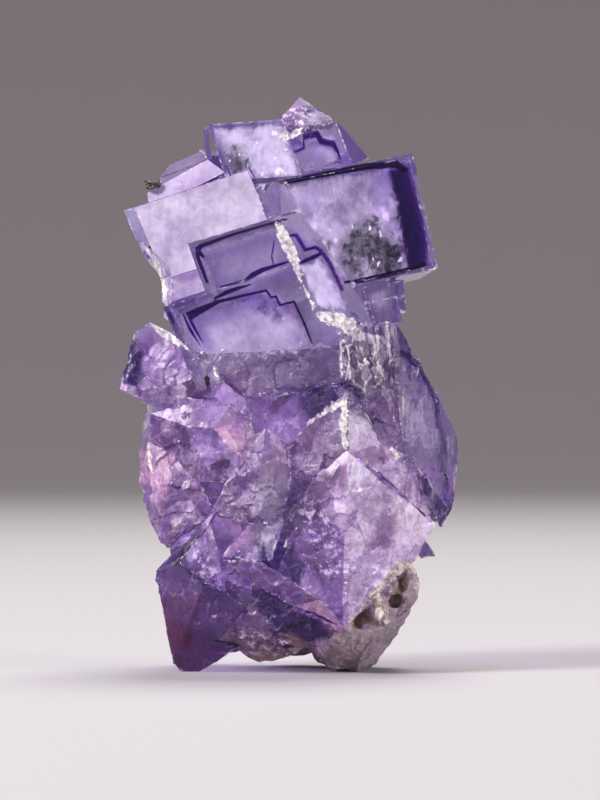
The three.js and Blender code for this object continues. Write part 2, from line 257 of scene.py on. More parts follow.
# ---------------------------------------------------------------- meshes
def linked(name, data):
    """A new object in the scene that shows the data."""
    item = bpy.data.objects.new(name, data)
    bpy.context.scene.collection.objects.link(item)
    return item


def new_mesh(name, points, faces, material):
    """A mesh from points in millimetres and lists of point numbers."""
    mesh = bpy.data.meshes.new(name)
    mesh.from_pydata((points * MM).tolist(), [], faces)
    mesh.materials.append(material)
    return mesh


def new_piece(name, points, faces, material, smooth=None):
    """A piece of the specimen. smooth is the angle in degrees over which an edge stays sharp."""
    mesh = new_mesh(name, points, faces.tolist(), material)
    piece = linked(name, mesh)
    if smooth is not None:
        mesh.shade_smooth()
        mesh.set_sharp_from_angle(angle=math.radians(smooth))
    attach(piece, "root")
    return piece


def mark(piece, values):
    """Stores named numbers at the piece's points, for its material."""
    for name, numbers in values.items():
        data = piece.data.attributes.new(name, "FLOAT", "POINT").data
        data.foreach_set("value", np.array(numbers, np.float32))


def node_mesh(name):
    """A CAD node's points in millimetres and its triangles, joined at their corners."""
    work = bmesh.new()
    work.from_mesh(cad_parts[name].data)
    bmesh.ops.remove_doubles(work, verts=work.verts, dist=SAME_POINT)
    bmesh.ops.triangulate(work, faces=work.faces)
    work.verts.index_update()
    points = np.array([v.co for v in work.verts]) / MM
    faces = np.array([[v.index for v in f.verts] for f in work.faces])
    work.free()
    return points, faces


def face_normals(points, faces):
    a, b, c = (points[faces[:, i]] for i in range(3))
    n = np.cross(b - a, c - a)
    size = np.linalg.norm(n, axis=1)
    return n / np.maximum(size, TINY)[:, None], size / 2


def sums_by(number, values, count):
    """The sum of the rows of values that share a number, for each number below count."""
    return np.stack([np.bincount(number, values[:, i], count) for i in range(3)], axis=1)


def point_normals(points, faces):
    """The sum of the area normals of the faces that meet at each point, to unit length."""
    unit, area = face_normals(points, faces)
    total = sums_by(faces.ravel(), np.repeat(unit * area[:, None], 3, axis=0), len(points))
    return total / np.maximum(np.linalg.norm(total, axis=1), TINY)[:, None]


def edges_of(faces):
    """Each edge once, and for each face the numbers of its edges 0-1, 1-2 and 2-0."""
    pairs = np.sort(faces[:, [0, 1, 1, 2, 2, 0]].reshape(-1, 2), axis=1)
    edges, where = np.unique(pairs, axis=0, return_inverse=True)
    return edges, where.reshape(-1, 3)


def neighbours(where):
    """The two faces that meet at each edge, from the numbers of each face's edges."""
    return (np.argsort(where.ravel(), kind="stable") // 3).reshape(-1, 2)


def facets_of(points, faces):
    """Numbers the flat facets. Two faces that share an edge and agree in direction take the lower number
    of the two, over and over, until nothing changes."""
    unit, _ = face_normals(points, faces)
    pairs = neighbours(edges_of(faces)[1])
    flat = (unit[pairs[:, 0]] * unit[pairs[:, 1]]).sum(axis=1) > FLAT_COSINE
    pairs = pairs[flat]
    number = np.arange(len(faces))
    for _ in range(len(faces)):
        low = np.minimum(number[pairs[:, 0]], number[pairs[:, 1]])
        before = number.copy()
        np.minimum.at(number, pairs[:, 0], low)
        np.minimum.at(number, pairs[:, 1], low)
        if (number == before).all():
            break
    return np.unique(number, return_inverse=True)[1]


def refine(points, faces, owner, longest):
    """Splits the edges over the longest length at their middles, the longest edges first, until only a few
    are left, so that each face becomes two, three or four smaller ones in the same plane. owner goes with
    the faces. longest gives the length allowed at each of the places handed to it."""
    while True:
        edges, where = edges_of(faces)
        ends = points[edges]
        length = np.linalg.norm(ends[:, 0] - ends[:, 1], axis=1) / longest(ends.mean(axis=1))
        if (length > 1).sum() < FEW_EDGES:
            return points, faces, owner
        split = length > max(1, length.max() * 0.5)
        middle = np.full(len(edges), -1)
        middle[split] = len(points) + np.arange(split.sum())
        points = np.vstack([points, points[edges[split]].mean(axis=1)])
        marks = middle[where]
        count = (marks >= 0).sum(axis=1)
        first = np.where(count == 1, np.argmax(marks >= 0, axis=1), (np.argmax(marks < 0, axis=1) + 1) % 3)
        turn = (np.arange(3) + np.where(count % 3 == 0, 0, first)[:, None]) % 3
        a, b, c = np.take_along_axis(faces, turn, axis=1).T
        p, q, r = np.take_along_axis(marks, turn, axis=1).T
        kinds = {
            0: [(a, b, c)],
            1: [(a, p, c), (p, b, c)],
            2: [(p, b, q), (a, p, q), (a, q, c)],
            3: [(a, p, r), (p, b, q), (r, q, c), (p, q, r)],
        }
        made = [
            (np.stack(corners, axis=1)[count == k], owner[count == k])
            for k, group in kinds.items()
            for corners in group
        ]
        faces = np.vstack([m[0] for m in made])
        owner = np.concatenate([m[1] for m in made])


def lattice_code(at, seed):
    """A whole number for each lattice place: its three steps and the seed, each times its own key, joined by
    exclusive or."""
    x, y, z = at.T
    for_x, for_y, for_z, for_seed = LATTICE_KEYS
    return (x * for_x) ^ (y * for_y) ^ (z * for_z) ^ (seed * for_seed)


def next_draw(code):
    """The next number of a linear congruential row below DRAW_RANGE, and it as a share of that."""
    code = (code * DRAW_FACTOR + DRAW_STEP) % DRAW_RANGE
    return code, code / DRAW_RANGE


def lattice_noise(points, size, seed):
    """Random numbers on a lattice of cubes with sides of size, blended between the eight corners."""
    p = points / size + seed * 7.31
    base = np.floor(p).astype(np.int64)
    t = p - base
    t = t * t * (3 - 2 * t)
    total = np.zeros(len(points))
    for corner in np.ndindex(2, 2, 2):
        value = next_draw(lattice_code(base + corner, seed))[1]
        total += value * np.prod(np.where(corner, t, 1 - t), axis=1)
    return total


def smoothstep(x, low, high):
    t = np.clip((x - low) / (high - low), 0, 1)
    return t * t * (3 - 2 * t)


def relax(points, faces, weight, rounds):
    """Moves each point towards the middle of its neighbours by its weight, a few times."""
    edges, _ = edges_of(faces)
    ends = np.concatenate([edges[:, 0], edges[:, 1]])
    others = np.concatenate([edges[:, 1], edges[:, 0]])
    count = np.bincount(ends, minlength=len(points))[:, None]
    for _ in range(rounds):
        sums = sums_by(ends, points[others], len(points))
        points = points + weight[:, None] * (sums / count - points)
    return points


def cleavage_steps(points, size, slope, step, seed):
    """Small flat steps. Space is divided into the cells around one random place in each cube of a lattice.
    In a cell the height is the cell's own step plus its slope times the distance from its place, and the
    slope is one of four directions, so that many steps lie parallel."""
    p = points / size
    base = np.floor(p).astype(np.int64)
    best = np.full(len(points), FAR)
    height = np.zeros(len(points))
    ways = np.array([[1, 1, 1], [-1, 1, 0.4], [1, -0.3, -1], [-0.6, 0.2, 1]]) * slope
    for corner in np.ndindex(3, 3, 3):
        at = base + np.array(corner) - 1
        code = lattice_code(at, seed)
        draws = []
        for _ in range(5):
            code, draw = next_draw(code)
            draws.append(draw)
        away = p - at - np.stack(draws[:3], axis=1)
        gap = (away**2).sum(axis=1)
        tilt = ways[(draws[3] * 4).astype(int) % 4]
        rise = (draws[4] - 0.5) * step + (away * tilt).sum(axis=1) * size
        near = gap < best
        best[near], height[near] = gap[near], rise[near]
    return height


def distance_to(points, targets):
    """The distance from each point to the nearest target."""
    tree = KDTree(len(targets))
    for i, target in enumerate(targets.tolist()):
        tree.insert(target, i)
    tree.balance()
    return np.array([tree.find(point)[2] for point in points.tolist()])


def line_distance(points, line):
    """The distance from each point to an open line seen from the front, less the line's own half width
    at the nearest place. A line's corner is x, z, half width."""
    line = np.asarray(line, float)
    best = np.full(len(points), FAR)
    flat = points[:, [0, 2]]
    for (ax, az, aw), (bx, bz, bw) in zip(line[:-1], line[1:]):
        along = np.array([bx - ax, bz - az])
        t = np.clip(((flat - [ax, az]) @ along) / (along @ along), 0, 1)
        gap = np.linalg.norm(flat - [ax, az] - t[:, None] * along, axis=1) - (aw + t * (bw - aw))
        best = np.minimum(best, gap)
    return best


def nearest(points, lines):
    """The least of the distances to several lines."""
    return np.min([line_distance(points, line) for line in lines], axis=0)


def inside_outline(flat, outline):
    """How far each flat place is inside a closed outline, and less than 0 outside it. A place is inside if a
    level ray from it crosses the outline an odd number of times."""
    gap = np.full(len(flat), FAR)
    odd = np.zeros(len(flat), bool)
    for a, b in zip(outline, np.roll(outline, -1, axis=0)):
        along = b - a
        t = np.clip((flat - a) @ along / (along @ along), 0, 1)
        gap = np.minimum(gap, np.linalg.norm(flat - a - t[:, None] * along, axis=1))
        crosses = (flat[:, 1] < a[1]) != (flat[:, 1] < b[1])
        odd ^= crosses & (flat[:, 0] < a[0] + (flat[:, 1] - a[1]) * along[0] / (along[1] or 1e-9))
    return np.where(odd, gap, -gap)


def cube_face(name):
    """A flat face: its first corner, the unit steps along it and down it, and the unit step inwards. A face
    given by three corners has its steps level and square to that."""
    if name in BROKEN_FACES:
        a, b, c = (np.array(p, float) for p in BROKEN_FACES[name])
        inward = np.cross(b - a, c - a)
        inward *= np.sign(inward[1]) / np.linalg.norm(inward)
        along = np.array([inward[1], -inward[0], 0])
        along /= np.linalg.norm(along)
        return a, along, np.cross(inward, along) * -np.sign(np.cross(inward, along)[2]), inward
    corner, along, down, proud = FACES[name]
    along, down = np.array(along, float), np.array(down, float)
    inward = np.cross(along, down)
    inward *= np.sign(inward[1]) / np.linalg.norm(inward)
    start = np.array(corner, float) - inward * proud
    return start, along / np.linalg.norm(along), down / np.linalg.norm(down), inward


def on_face(name, u, v, w):
    """The point u along a face, v down it and w under it, in millimetres. u, v and w may be arrays."""
    start, along, down, inward = cube_face(name)
    u, v, w = (np.asarray(item, float)[..., None] for item in np.broadcast_arrays(u, v, w))
    return start + u * along + v * down + w * inward


def wall(name, depth, reach, lean, line):
    """A thin wall under a flat face. The line's corners are u, v and width. Each is set off to both sides by
    half its width along the mitre of its two stretches, and that strip runs from depth inwards by reach
    while it shifts by lean along u and v."""
    u, v, width = np.asarray(line, float).T
    steps = np.diff(np.stack([u, v], axis=1), axis=0)
    steps /= np.linalg.norm(steps, axis=1)[:, None]
    sides = np.stack([-steps[:, 1], steps[:, 0]], axis=1)
    before, after = np.vstack([sides[:1], sides]), np.vstack([sides, sides[-1:]])
    mitre = before + after
    mitre /= np.maximum((mitre * before).sum(axis=1), 0.4)[:, None]
    du, dv = (mitre * width[:, None] / 2).T
    rings = np.stack(
        [
            on_face(name, u - du, v - dv, depth),
            on_face(name, u + du, v + dv, depth),
            on_face(name, u + du + lean[0], v + dv + lean[1], depth + reach),
            on_face(name, u - du + lean[0], v - dv + lean[1], depth + reach),
        ],
        axis=1,
    )
    n = len(u)
    i = np.arange(n - 1)[:, None] * 4
    k = np.arange(4)
    strips = np.stack([i + k, i + (k + 1) % 4, i + 4 + (k + 1) % 4, i + 4 + k], axis=2).reshape(-1, 4)
    caps = np.array([[3, 2, 1, 0], [4 * n - 4, 4 * n - 3, 4 * n - 2, 4 * n - 1]])
    return rings.reshape(-1, 3), np.vstack([strips, caps])


def veil(name, outline, depth, bump, seed, bright, mottling, spots, thickness=0.12, step=0.35):
    """A thin closed sheet under a face, over the span of an outline of u and v. Its depth varies by bump with
    two sizes of lattice noise, and its back is the same sheet one thickness further in. Each point also gets
    how far it is inside the outline, its brightness, its mottling and how far it is inside a spot. The back
    counts as outside the outline, so it stays clear."""
    outline = np.asarray(outline, float)
    (u0, v0), (u1, v1) = outline.min(axis=0), outline.max(axis=0)
    n, m = int((u1 - u0) / step) + 2, int((v1 - v0) / step) + 2
    u, v = np.meshgrid(np.linspace(u0, u1, n), np.linspace(v0, v1, m), indexing="ij")
    flat = np.stack([u.ravel(), v.ravel(), np.zeros(n * m)], axis=1)
    rise = 0.7 * lattice_noise(flat, 2.6, seed) + 0.3 * lattice_noise(flat, 0.9, seed + 1) - 0.5
    depth = depth + bump * rise.reshape(n, m)
    points = np.concatenate([on_face(name, u, v, w).reshape(-1, 3) for w in (depth, depth + thickness)])
    i, j = np.meshgrid(np.arange(n - 1), np.arange(m - 1), indexing="ij")
    a = (i * m + j).ravel()
    front = np.stack([a, a + 1, a + m + 1, a + m], axis=1)
    rim = np.concatenate([
        np.arange(m), np.arange(1, n) * m + m - 1, (n - 1) * m + np.arange(m - 2, -1, -1),
        np.arange(n - 2, 0, -1) * m,
    ])
    nxt = np.roll(rim, -1)
    edge = np.stack([rim, rim + n * m, nxt + n * m, nxt], axis=1)
    inside = inside_outline(flat[:, :2], outline)
    none = np.full(n * m, OUTSIDE)
    spot = np.max([none] + [(r - np.hypot(u - a, v - b)).ravel() for a, b, r in spots], axis=0)
    marks = np.stack([inside, np.full(n * m, bright), np.full(n * m, mottling), spot], axis=1)
    marks = np.vstack([marks, marks])
    marks[n * m:, 0] = OUTSIDE
    return points, np.vstack([front, front[:, ::-1] + n * m, edge]), marks


def gather(parts):
    """Several meshes as one."""
    points = np.vstack([p for p, _ in parts])
    starts = np.cumsum([0, *[len(p) for p, _ in parts[:-1]]])
    return points, np.vstack([f + s for (_, f), s in zip(parts, starts)])


def outward(piece):
    """Turns a closed piece's faces outwards."""
    work = bmesh.new()
    work.from_mesh(piece.data)
    bmesh.ops.recalc_face_normals(work, faces=work.faces)
    work.to_mesh(piece.data)
    work.free()


# ---------------------------------------------------------------- the crystal
BACK_TINT = "9478be"
# The colours of the front: name, milky colour, how milky, how frosted, and the places x, z it covers.
PALETTE = (
    ("slab", "e4d8ec", 0.88, 0.35, ((-9.4, 47.4),)),
    ("rim", "aaa2c0", 0.84, 0.35, ((-13.98, 47.66),)),
    # On the facet at -10.9, 51.3 the ledge colour is a painted shade, darker than the slab's, that holds back
    # the light of the top lamp.
    ("ledge", "ccbcda", 0.84, 0.35, ((-10.7, 40.4), (-10.9, 51.3))),
    ("shelf", "a08cba", 0.60, 0.20, ((-13.0, 37.2), (-11.6, 36.6))),
    ("frost", "e0d0e6", 0.80, 0.35, (
        (-14.3, 43.3), (-13.0, 41.7), (-12.7, 39.7), (7.0, 25.7), (9.9, 16.5))),
    # painted_gleam is a painted highlight: a paler colour than the stone's own, on facets that the lamps
    # leave darker.
    ("painted_gleam", "f2e4fa", 0.86, 0.30, (
        (-13.2, 28.9), (-10.5, 15.9), (-12.7, 29.1), (-10.6, 16.1), (8.7, 11.7), (5.0, 21.1), (10.0, 19.8))),
    ("pale", "d2bcda", 0.78, 0.30, (
        (-12.1, 27.0), (-12.8, 31.4), (11.4, 14.4), (7.4, 14.7), (4.4, 15.9), (7.6, 24.6), (11.06, 20.7),
        (-13.5, 28.4), (7.9, 10.1), (9.4, 13.2), (-15.0, 29.4), (-12.1, 18.1), (-7.6, 13.8))),
    ("lilac", "b698cc", 0.75, 0.25, (
        (-13.7, 32.3), (-12.2, 32.3), (-8.7, 28.6), (-8.3, 27.3), (-11.2, 17.4), (-8.0, 12.2), (-5.9, 22.0),
        (-5.5, 28.7), (-15.8, 29.9))),
    ("rose", "bc94b4", 0.78, 0.25, ((-14.4, 21.8), (-13.1, 22.0), (-11.8, 14.8))),
    ("pink", "c898be", 0.75, 0.20, (
        (-6.1, 25.3), (-4.8, 23.6), (-5.4, 13.9), (3.0, 6.75), (-4.7, 25.1), (-12.6, 18.6), (-13.4, 20.1))),
    ("mauve", "a282aa", 0.80, 0.30, (
        (0.5, 58.4), (-9.8, 26.5), (-5.9, 26.8), (-9.9, 18.6), (-14.4, 18.0), (-13.6, 16.4), (9.5, 14.3),
        (12.2, 19.5), (-11.2, 20.4), (9.7, 23.2), (-13.0, 34.2), (4.2, 17.2))),
    ("heather", "8e74a2", 0.80, 0.30, ((4.1, 25.9), (-2.8, 24.3), (-3.6, 22.7), (-4.3, 12.3), (-6.8, 13.05))),
    ("violet", "8a68a8", 0.75, 0.20, (
        (-9.3, 23.8), (-7.8, 23.1), (3.4, 13.5), (4.8, 12.3), (4.05, 10.2), (-0.2, 9.2), (-12.9, 15.4),
        (-3.0, 28.1), (0.0, 27.1), (-14.3, 34.2), (14.7, 21.8), (2.0, 14.7), (-9.3, 17.3), (-3.5, 10.3),
        (-9.3, 12.7))),
    ("plum", "68467e", 0.75, 0.20, (
        (-10.7, 22.8), (-12.9, 25.1), (-7.4, 21.2), (-4.5, 19.4), (9.6, 26.5), (-0.85, 28.4), (2.1, 22.8),
        (-8.0, 7.2), (-5.5, 8.4), (-4.6, 8.7), (7.4, 27.3), (-7.5, 5.5), (-9.6, 29.7), (-11.5, 10.7),
        (-11.9, 8.7), (-2.5, 30.0), (8.5, 28.5))),
    # Of the prune places, 6.9, 29.2 and 5.3, 30.1 are painted shade in a hollow.
    ("prune", "56386a", 0.80, 0.20, (
        (-10.2, 10.6), (2.4, 8.8), (-1.0, 14.0), (1.4, 16.2), (-6.1, 4.6), (6.9, 29.2), (5.3, 30.1),
        (12.8, 31.8), (-4.7, 17.8))),
    ("mulberry", "5c3060", 0.80, 0.20, ((-7.9, 1.95), (-9.4, 2.6), (-12.0, 7.2), (-9.9, 4.9), (-11.2, 6.6))),
    ("dusk", "84698f", 0.80, 0.35, (
        (3.3, 24.0), (-4.4, 31.4), (-1.0, 22.3), (-6.2, 17.5), (2.6, 18.5), (10.3, 29.1), (14.24, 12.7),
        (11.2, 27.3), (-3.5, 5.6))),
    ("flank", "7e6c98", 0.80, 0.35, ((13.6, 25.7), (15.6, 23.9), (12.8, 29.0))),
    ("smoke", "8a7a96", 0.90, 0.45, (
        (-11.6, 52.6), (3.0, 57.4), (-1.2, 19.7), (-2.5, 18.1), (-2.6, 15.0), (-14.6, 26.5), (6.0, 33.5),
        (8.3, 33.2), (10.6, 33.8), (7.6, 30.0))),
    ("shade", "75638a", 0.85, 0.40, ((-1.1, 31.2), (1.9, 32.0), (-4.0, 32.3))),
    ("ink", "3e2862", 0.90, 0.10, (
        (-15.6, 32.5), (2.4, 28.6), (-0.14, 13.0), (-1.8, 7.2), (14.6, 18.8), (-2.8, 12.6), (-0.2, 5.3))),
    ("ash", "5e4e60", 0.85, 0.30, ((-11.1, 13.3),)),
    ("wine", "541838", 0.80, 0.10, ((-11.6, 5.2), (-10.9, 3.4))),
    ("clay", "94787e", 0.90, 0.50, ((-1.3, 3.2), (-4.6, 4.0))),
    ("crown", "b6acd8", 0.18, 0.10, ((-3.65, 54.6),)),
    ("gap", "684e90", 0.85, 0.15, ((-2.05, 49.3), (-7.5, 54.0), (6.5, 54.8))),
    ("cove", "a48cc4", 0.45, 0.15, ((-0.3, 49.06),)),
    ("small", "7e6c9e", 0.50, 0.15, ((10.1, 39.6), (7.7, 38.8), (9.9, 37.8))),
    ("clear", "8878a8", 0.05, 0.02, (
        (3.15, 54.7), (7.9, 47.4), (10.25, 48.55), (-4.9, 43.6), (3.6, 41.05), (-4.3, 36.7))),
)
# The calm tip, x and z.
TIP = (-11.2, 3.6)
# Above this height are the cubes, and below it the broken half.
CUBES_FROM = 35.0
# White broken edges: x, z, half width along each line.
WHITE_LINES = (
    ((-1.2, 46.6, 0.35), (-0.7, 45.4, 0.7), (0.3, 43.2, 0.6), (0.9, 41.6, 0.35), (1.45, 40.2, 0.16),
        (2.5, 38.0, 0.3)),
    ((3.0, 37.3, 0.5), (4.4, 36.9, 0.85), (6.2, 36.0, 0.9), (7.0, 35.0, 0.4)),
    ((6.8, 35.3, 0.5), (9.3, 34.6, 0.6), (8.6, 33.6, 0.4)),
    ((5.4, 34.6, 0.26), (5.25, 32.6, 0.22), (5.3, 31.0, 0.1)),
    ((10.0, 36.5, 0.26), (10.3, 34.2, 0.3), (9.1, 31.6, 0.32), (9.8, 30.4, 0.1)),
    ((5.75, 28.9, 0.3), (5.5, 26.4, 0.55), (5.8, 23.4, 0.2)),
    ((5.6, 28.4, 0.4), (4.1, 27.5, 0.35), (1.8, 26.1, 0.1)),
    ((-15.0, 24.9, 0.2), (-14.6, 22.0, 0.3), (-14.0, 20.0, 0.0)),
    ((10.4, 23.5, 0.2), (11.1, 22.6, 0.4)),
    ((-14.5, 36.4, 0.25), (-12.6, 35.1, 0.45), (-10.5, 33.8, 0.15)),
    ((-12.4, 27.3, 0.0), (-10.9, 26.3, 0.15)),
    ((-15.0, 43.4, 0.0), (-13.9, 42.3, 0.35), (-13.4, 41.2, 0.3), (-12.9, 39.9, 0.4), (-12.9, 38.9, 0.1)),
    ((0.3, 58.0, 0.1), (1.3, 57.4, 0.3)),
    ((-1.1, 55.5, 0.3), (-0.3, 56.0, 0.5), (1.0, 56.6, 0.45)),
    ((-0.7, 55.8, 0.4), (-0.4, 54.5, 0.3)),
    ((13.4, 51.6, -0.02), (15.2, 43.6, 0.02), (15.3, 42.3, 0.2), (14.0, 41.7, 0.16), (12.6, 41.4, 0.0)),
    ((2.2, 5.6, 0.0), (3.6, 5.6, 0.16)),
    ((-7.9, 31.9, 0.12), (-7.6, 30.9, 0.28), (-7.4, 30.2, 0.1)),
)
# Dark crusts and pits.
DARK_LINES = (
    ((-16.0, 26.9, 0.1), (-14.9, 25.3, 0.25)),
    ((-8.7, 31.6, 0.1), (-8.5, 30.4, 0.3), (-8.4, 28.8, 0.1)),
    ((-11.3, 51.4, 0.08), (-10.85, 50.1, 0.1)),
    ((-8.0, 3.4, 0.2), (-5.6, 2.9, 0.35)),
    ((-0.2, 4.9, 0.3), (1.6, 5.4, 0.2)),
    ((-0.4, 3.0, 0.3), (0.6, 2.9, 0.1)),
    ((-14.6, 44.5, 0.1), (-14.4, 43.6, 0.12)),
    ((10.9, 10.4, 0.1), (11.6, 9.9, 0.3)),
)
# Rock that clings to the crystal.
STONE_LINES = (
    ((4.4, 4.3, 0.1), (6.0, 5.4, 0.3), (7.2, 7.0, 0.4), (8.6, 8.4, 0.5), (10.0, 9.8, 0.5), (11.6, 11.2, 0.6),
        (12.6, 11.8, 0.4)),
)
# Deep violet lines: growth zones where the broken faces cut them, dark flecks and a dark notch, and one
# painted shade in a hollow: x, z, half width.
VIOLET_LINES = (
    ((11.6, 33.8, 0.3), (12.6, 33.3, 0.45), (13.8, 31.6, 0.4), (15.1, 29.3, 0.2), (15.6, 27.4, 0.26),
        (15.8, 24.4, 0.28), (16.1, 21.0, 0.32), (16.3, 18.0, 0.3)),
    ((-15.9, 35.0, 0.15), (-16.6, 32.8, 0.35), (-17.2, 30.4, 0.3)),
    ((-15.1, 32.1, 0.02), (-11.4, 32.6, 0.04), (-9.4, 32.4, 0.0)),
    ((-14.1, 16.1, 0.1), (-11.8, 16.9, 0.16), (-9.6, 16.7, 0.0)),
    ((-14.8, 15.6, 0.1), (-13.4, 13.6, 0.25)),
    ((-7.9, 21.6, 0.4), (-6.6, 22.0, 0.5)),
    ((-2.5, 29.5, 0.1), (0.8, 29.9, 0.4), (3.6, 29.6, 0.5), (5.0, 28.5, 0.2)),
    ((-10.0, 30.6, 0.4), (-8.6, 29.6, 0.2)),
    # Painted shade in a hollow, not a growth zone.
    ((5.2, 30.4, 0.3), (7.4, 29.1, 0.6)),
    ((2.4, 12.2, 0.25), (3.0, 10.4, 0.25), (3.6, 9.3, 0.1)),
    ((-12.2, 11.6, 0.1), (-8.8, 9.5, 0.25)),
    ((8.9, 27.4, 0.12), (10.2, 24.6, 0.1)),
    ((-7.0, 31.1, 0.2), (-5.6, 29.6, 0.3), (-4.3, 28.7, 0.15)),
    ((-14.8, 51.0, 0.05), (-13.3, 51.9, 0.1), (-11.3, 52.6, 0.1), (-8.6, 53.6, 0.1)),
    ((-16.4, 48.4, 0.0), (-11.5, 51.2, 0.03), (-10.2, 50.4, 0.0)),
)
# Broken edges among the cubes, and patches of bright and dark specks: x, z, half width.
WORN_LINES = (
    ((-15.8, 44.4, 0.5), (-13.7, 41.9, 0.9), (-12.9, 40.0, 0.9), (-12.9, 38.8, 0.6)),
    ((-1.4, 46.8, 0.4), (0.3, 43.2, 0.5), (1.6, 40.2, 0.4), (3.0, 37.6, 0.9), (6.0, 36.2, 1.2)),
    ((0.6, 58.2, 2.0), (2.6, 58.6, 2.0)),
)
SPECK_LINES = (
    ((0.4, 58.4, 1.4), (1.8, 59.0, 0.9)),
    ((2.2, 17.4, 1.2), (3.6, 14.0, 1.8), (4.2, 10.8, 1.2)),
    ((-10.2, 13.0, 0.2), (-8.8, 11.6, 1.0), (-7.4, 9.4, 0.6)),
    ((-5.6, 4.4, 0.4), (-3.6, 3.4, 0.9), (-0.4, 3.0, 0.8)),
)
# Thin layers on the cubes, which the mesh follows closely, glassy folds and splinters: x, z, half width.
LAYER_LINES = (
    ((-14.8, 51.0, 0.6), (-11.3, 52.6, 0.6), (-8.6, 53.6, 0.6)),
    ((-16.4, 48.4, 0.5), (-11.4, 51.2, 0.5), (-10.8, 50.0, 0.5)),
    ((13.0, 42.0, 0.8), (15.6, 42.6, 0.8)),
)
FOLD_LINES = (((6.6, 34.4, 1.2), (7.6, 32.2, 2.0), (8.2, 30.6, 1.2)),)
SPLINTER_LINES = (((10.2, 36.2, 0.7), (10.4, 33.0, 1.2), (11.0, 28.6, 0.9), (11.8, 25.0, 0.4)),)


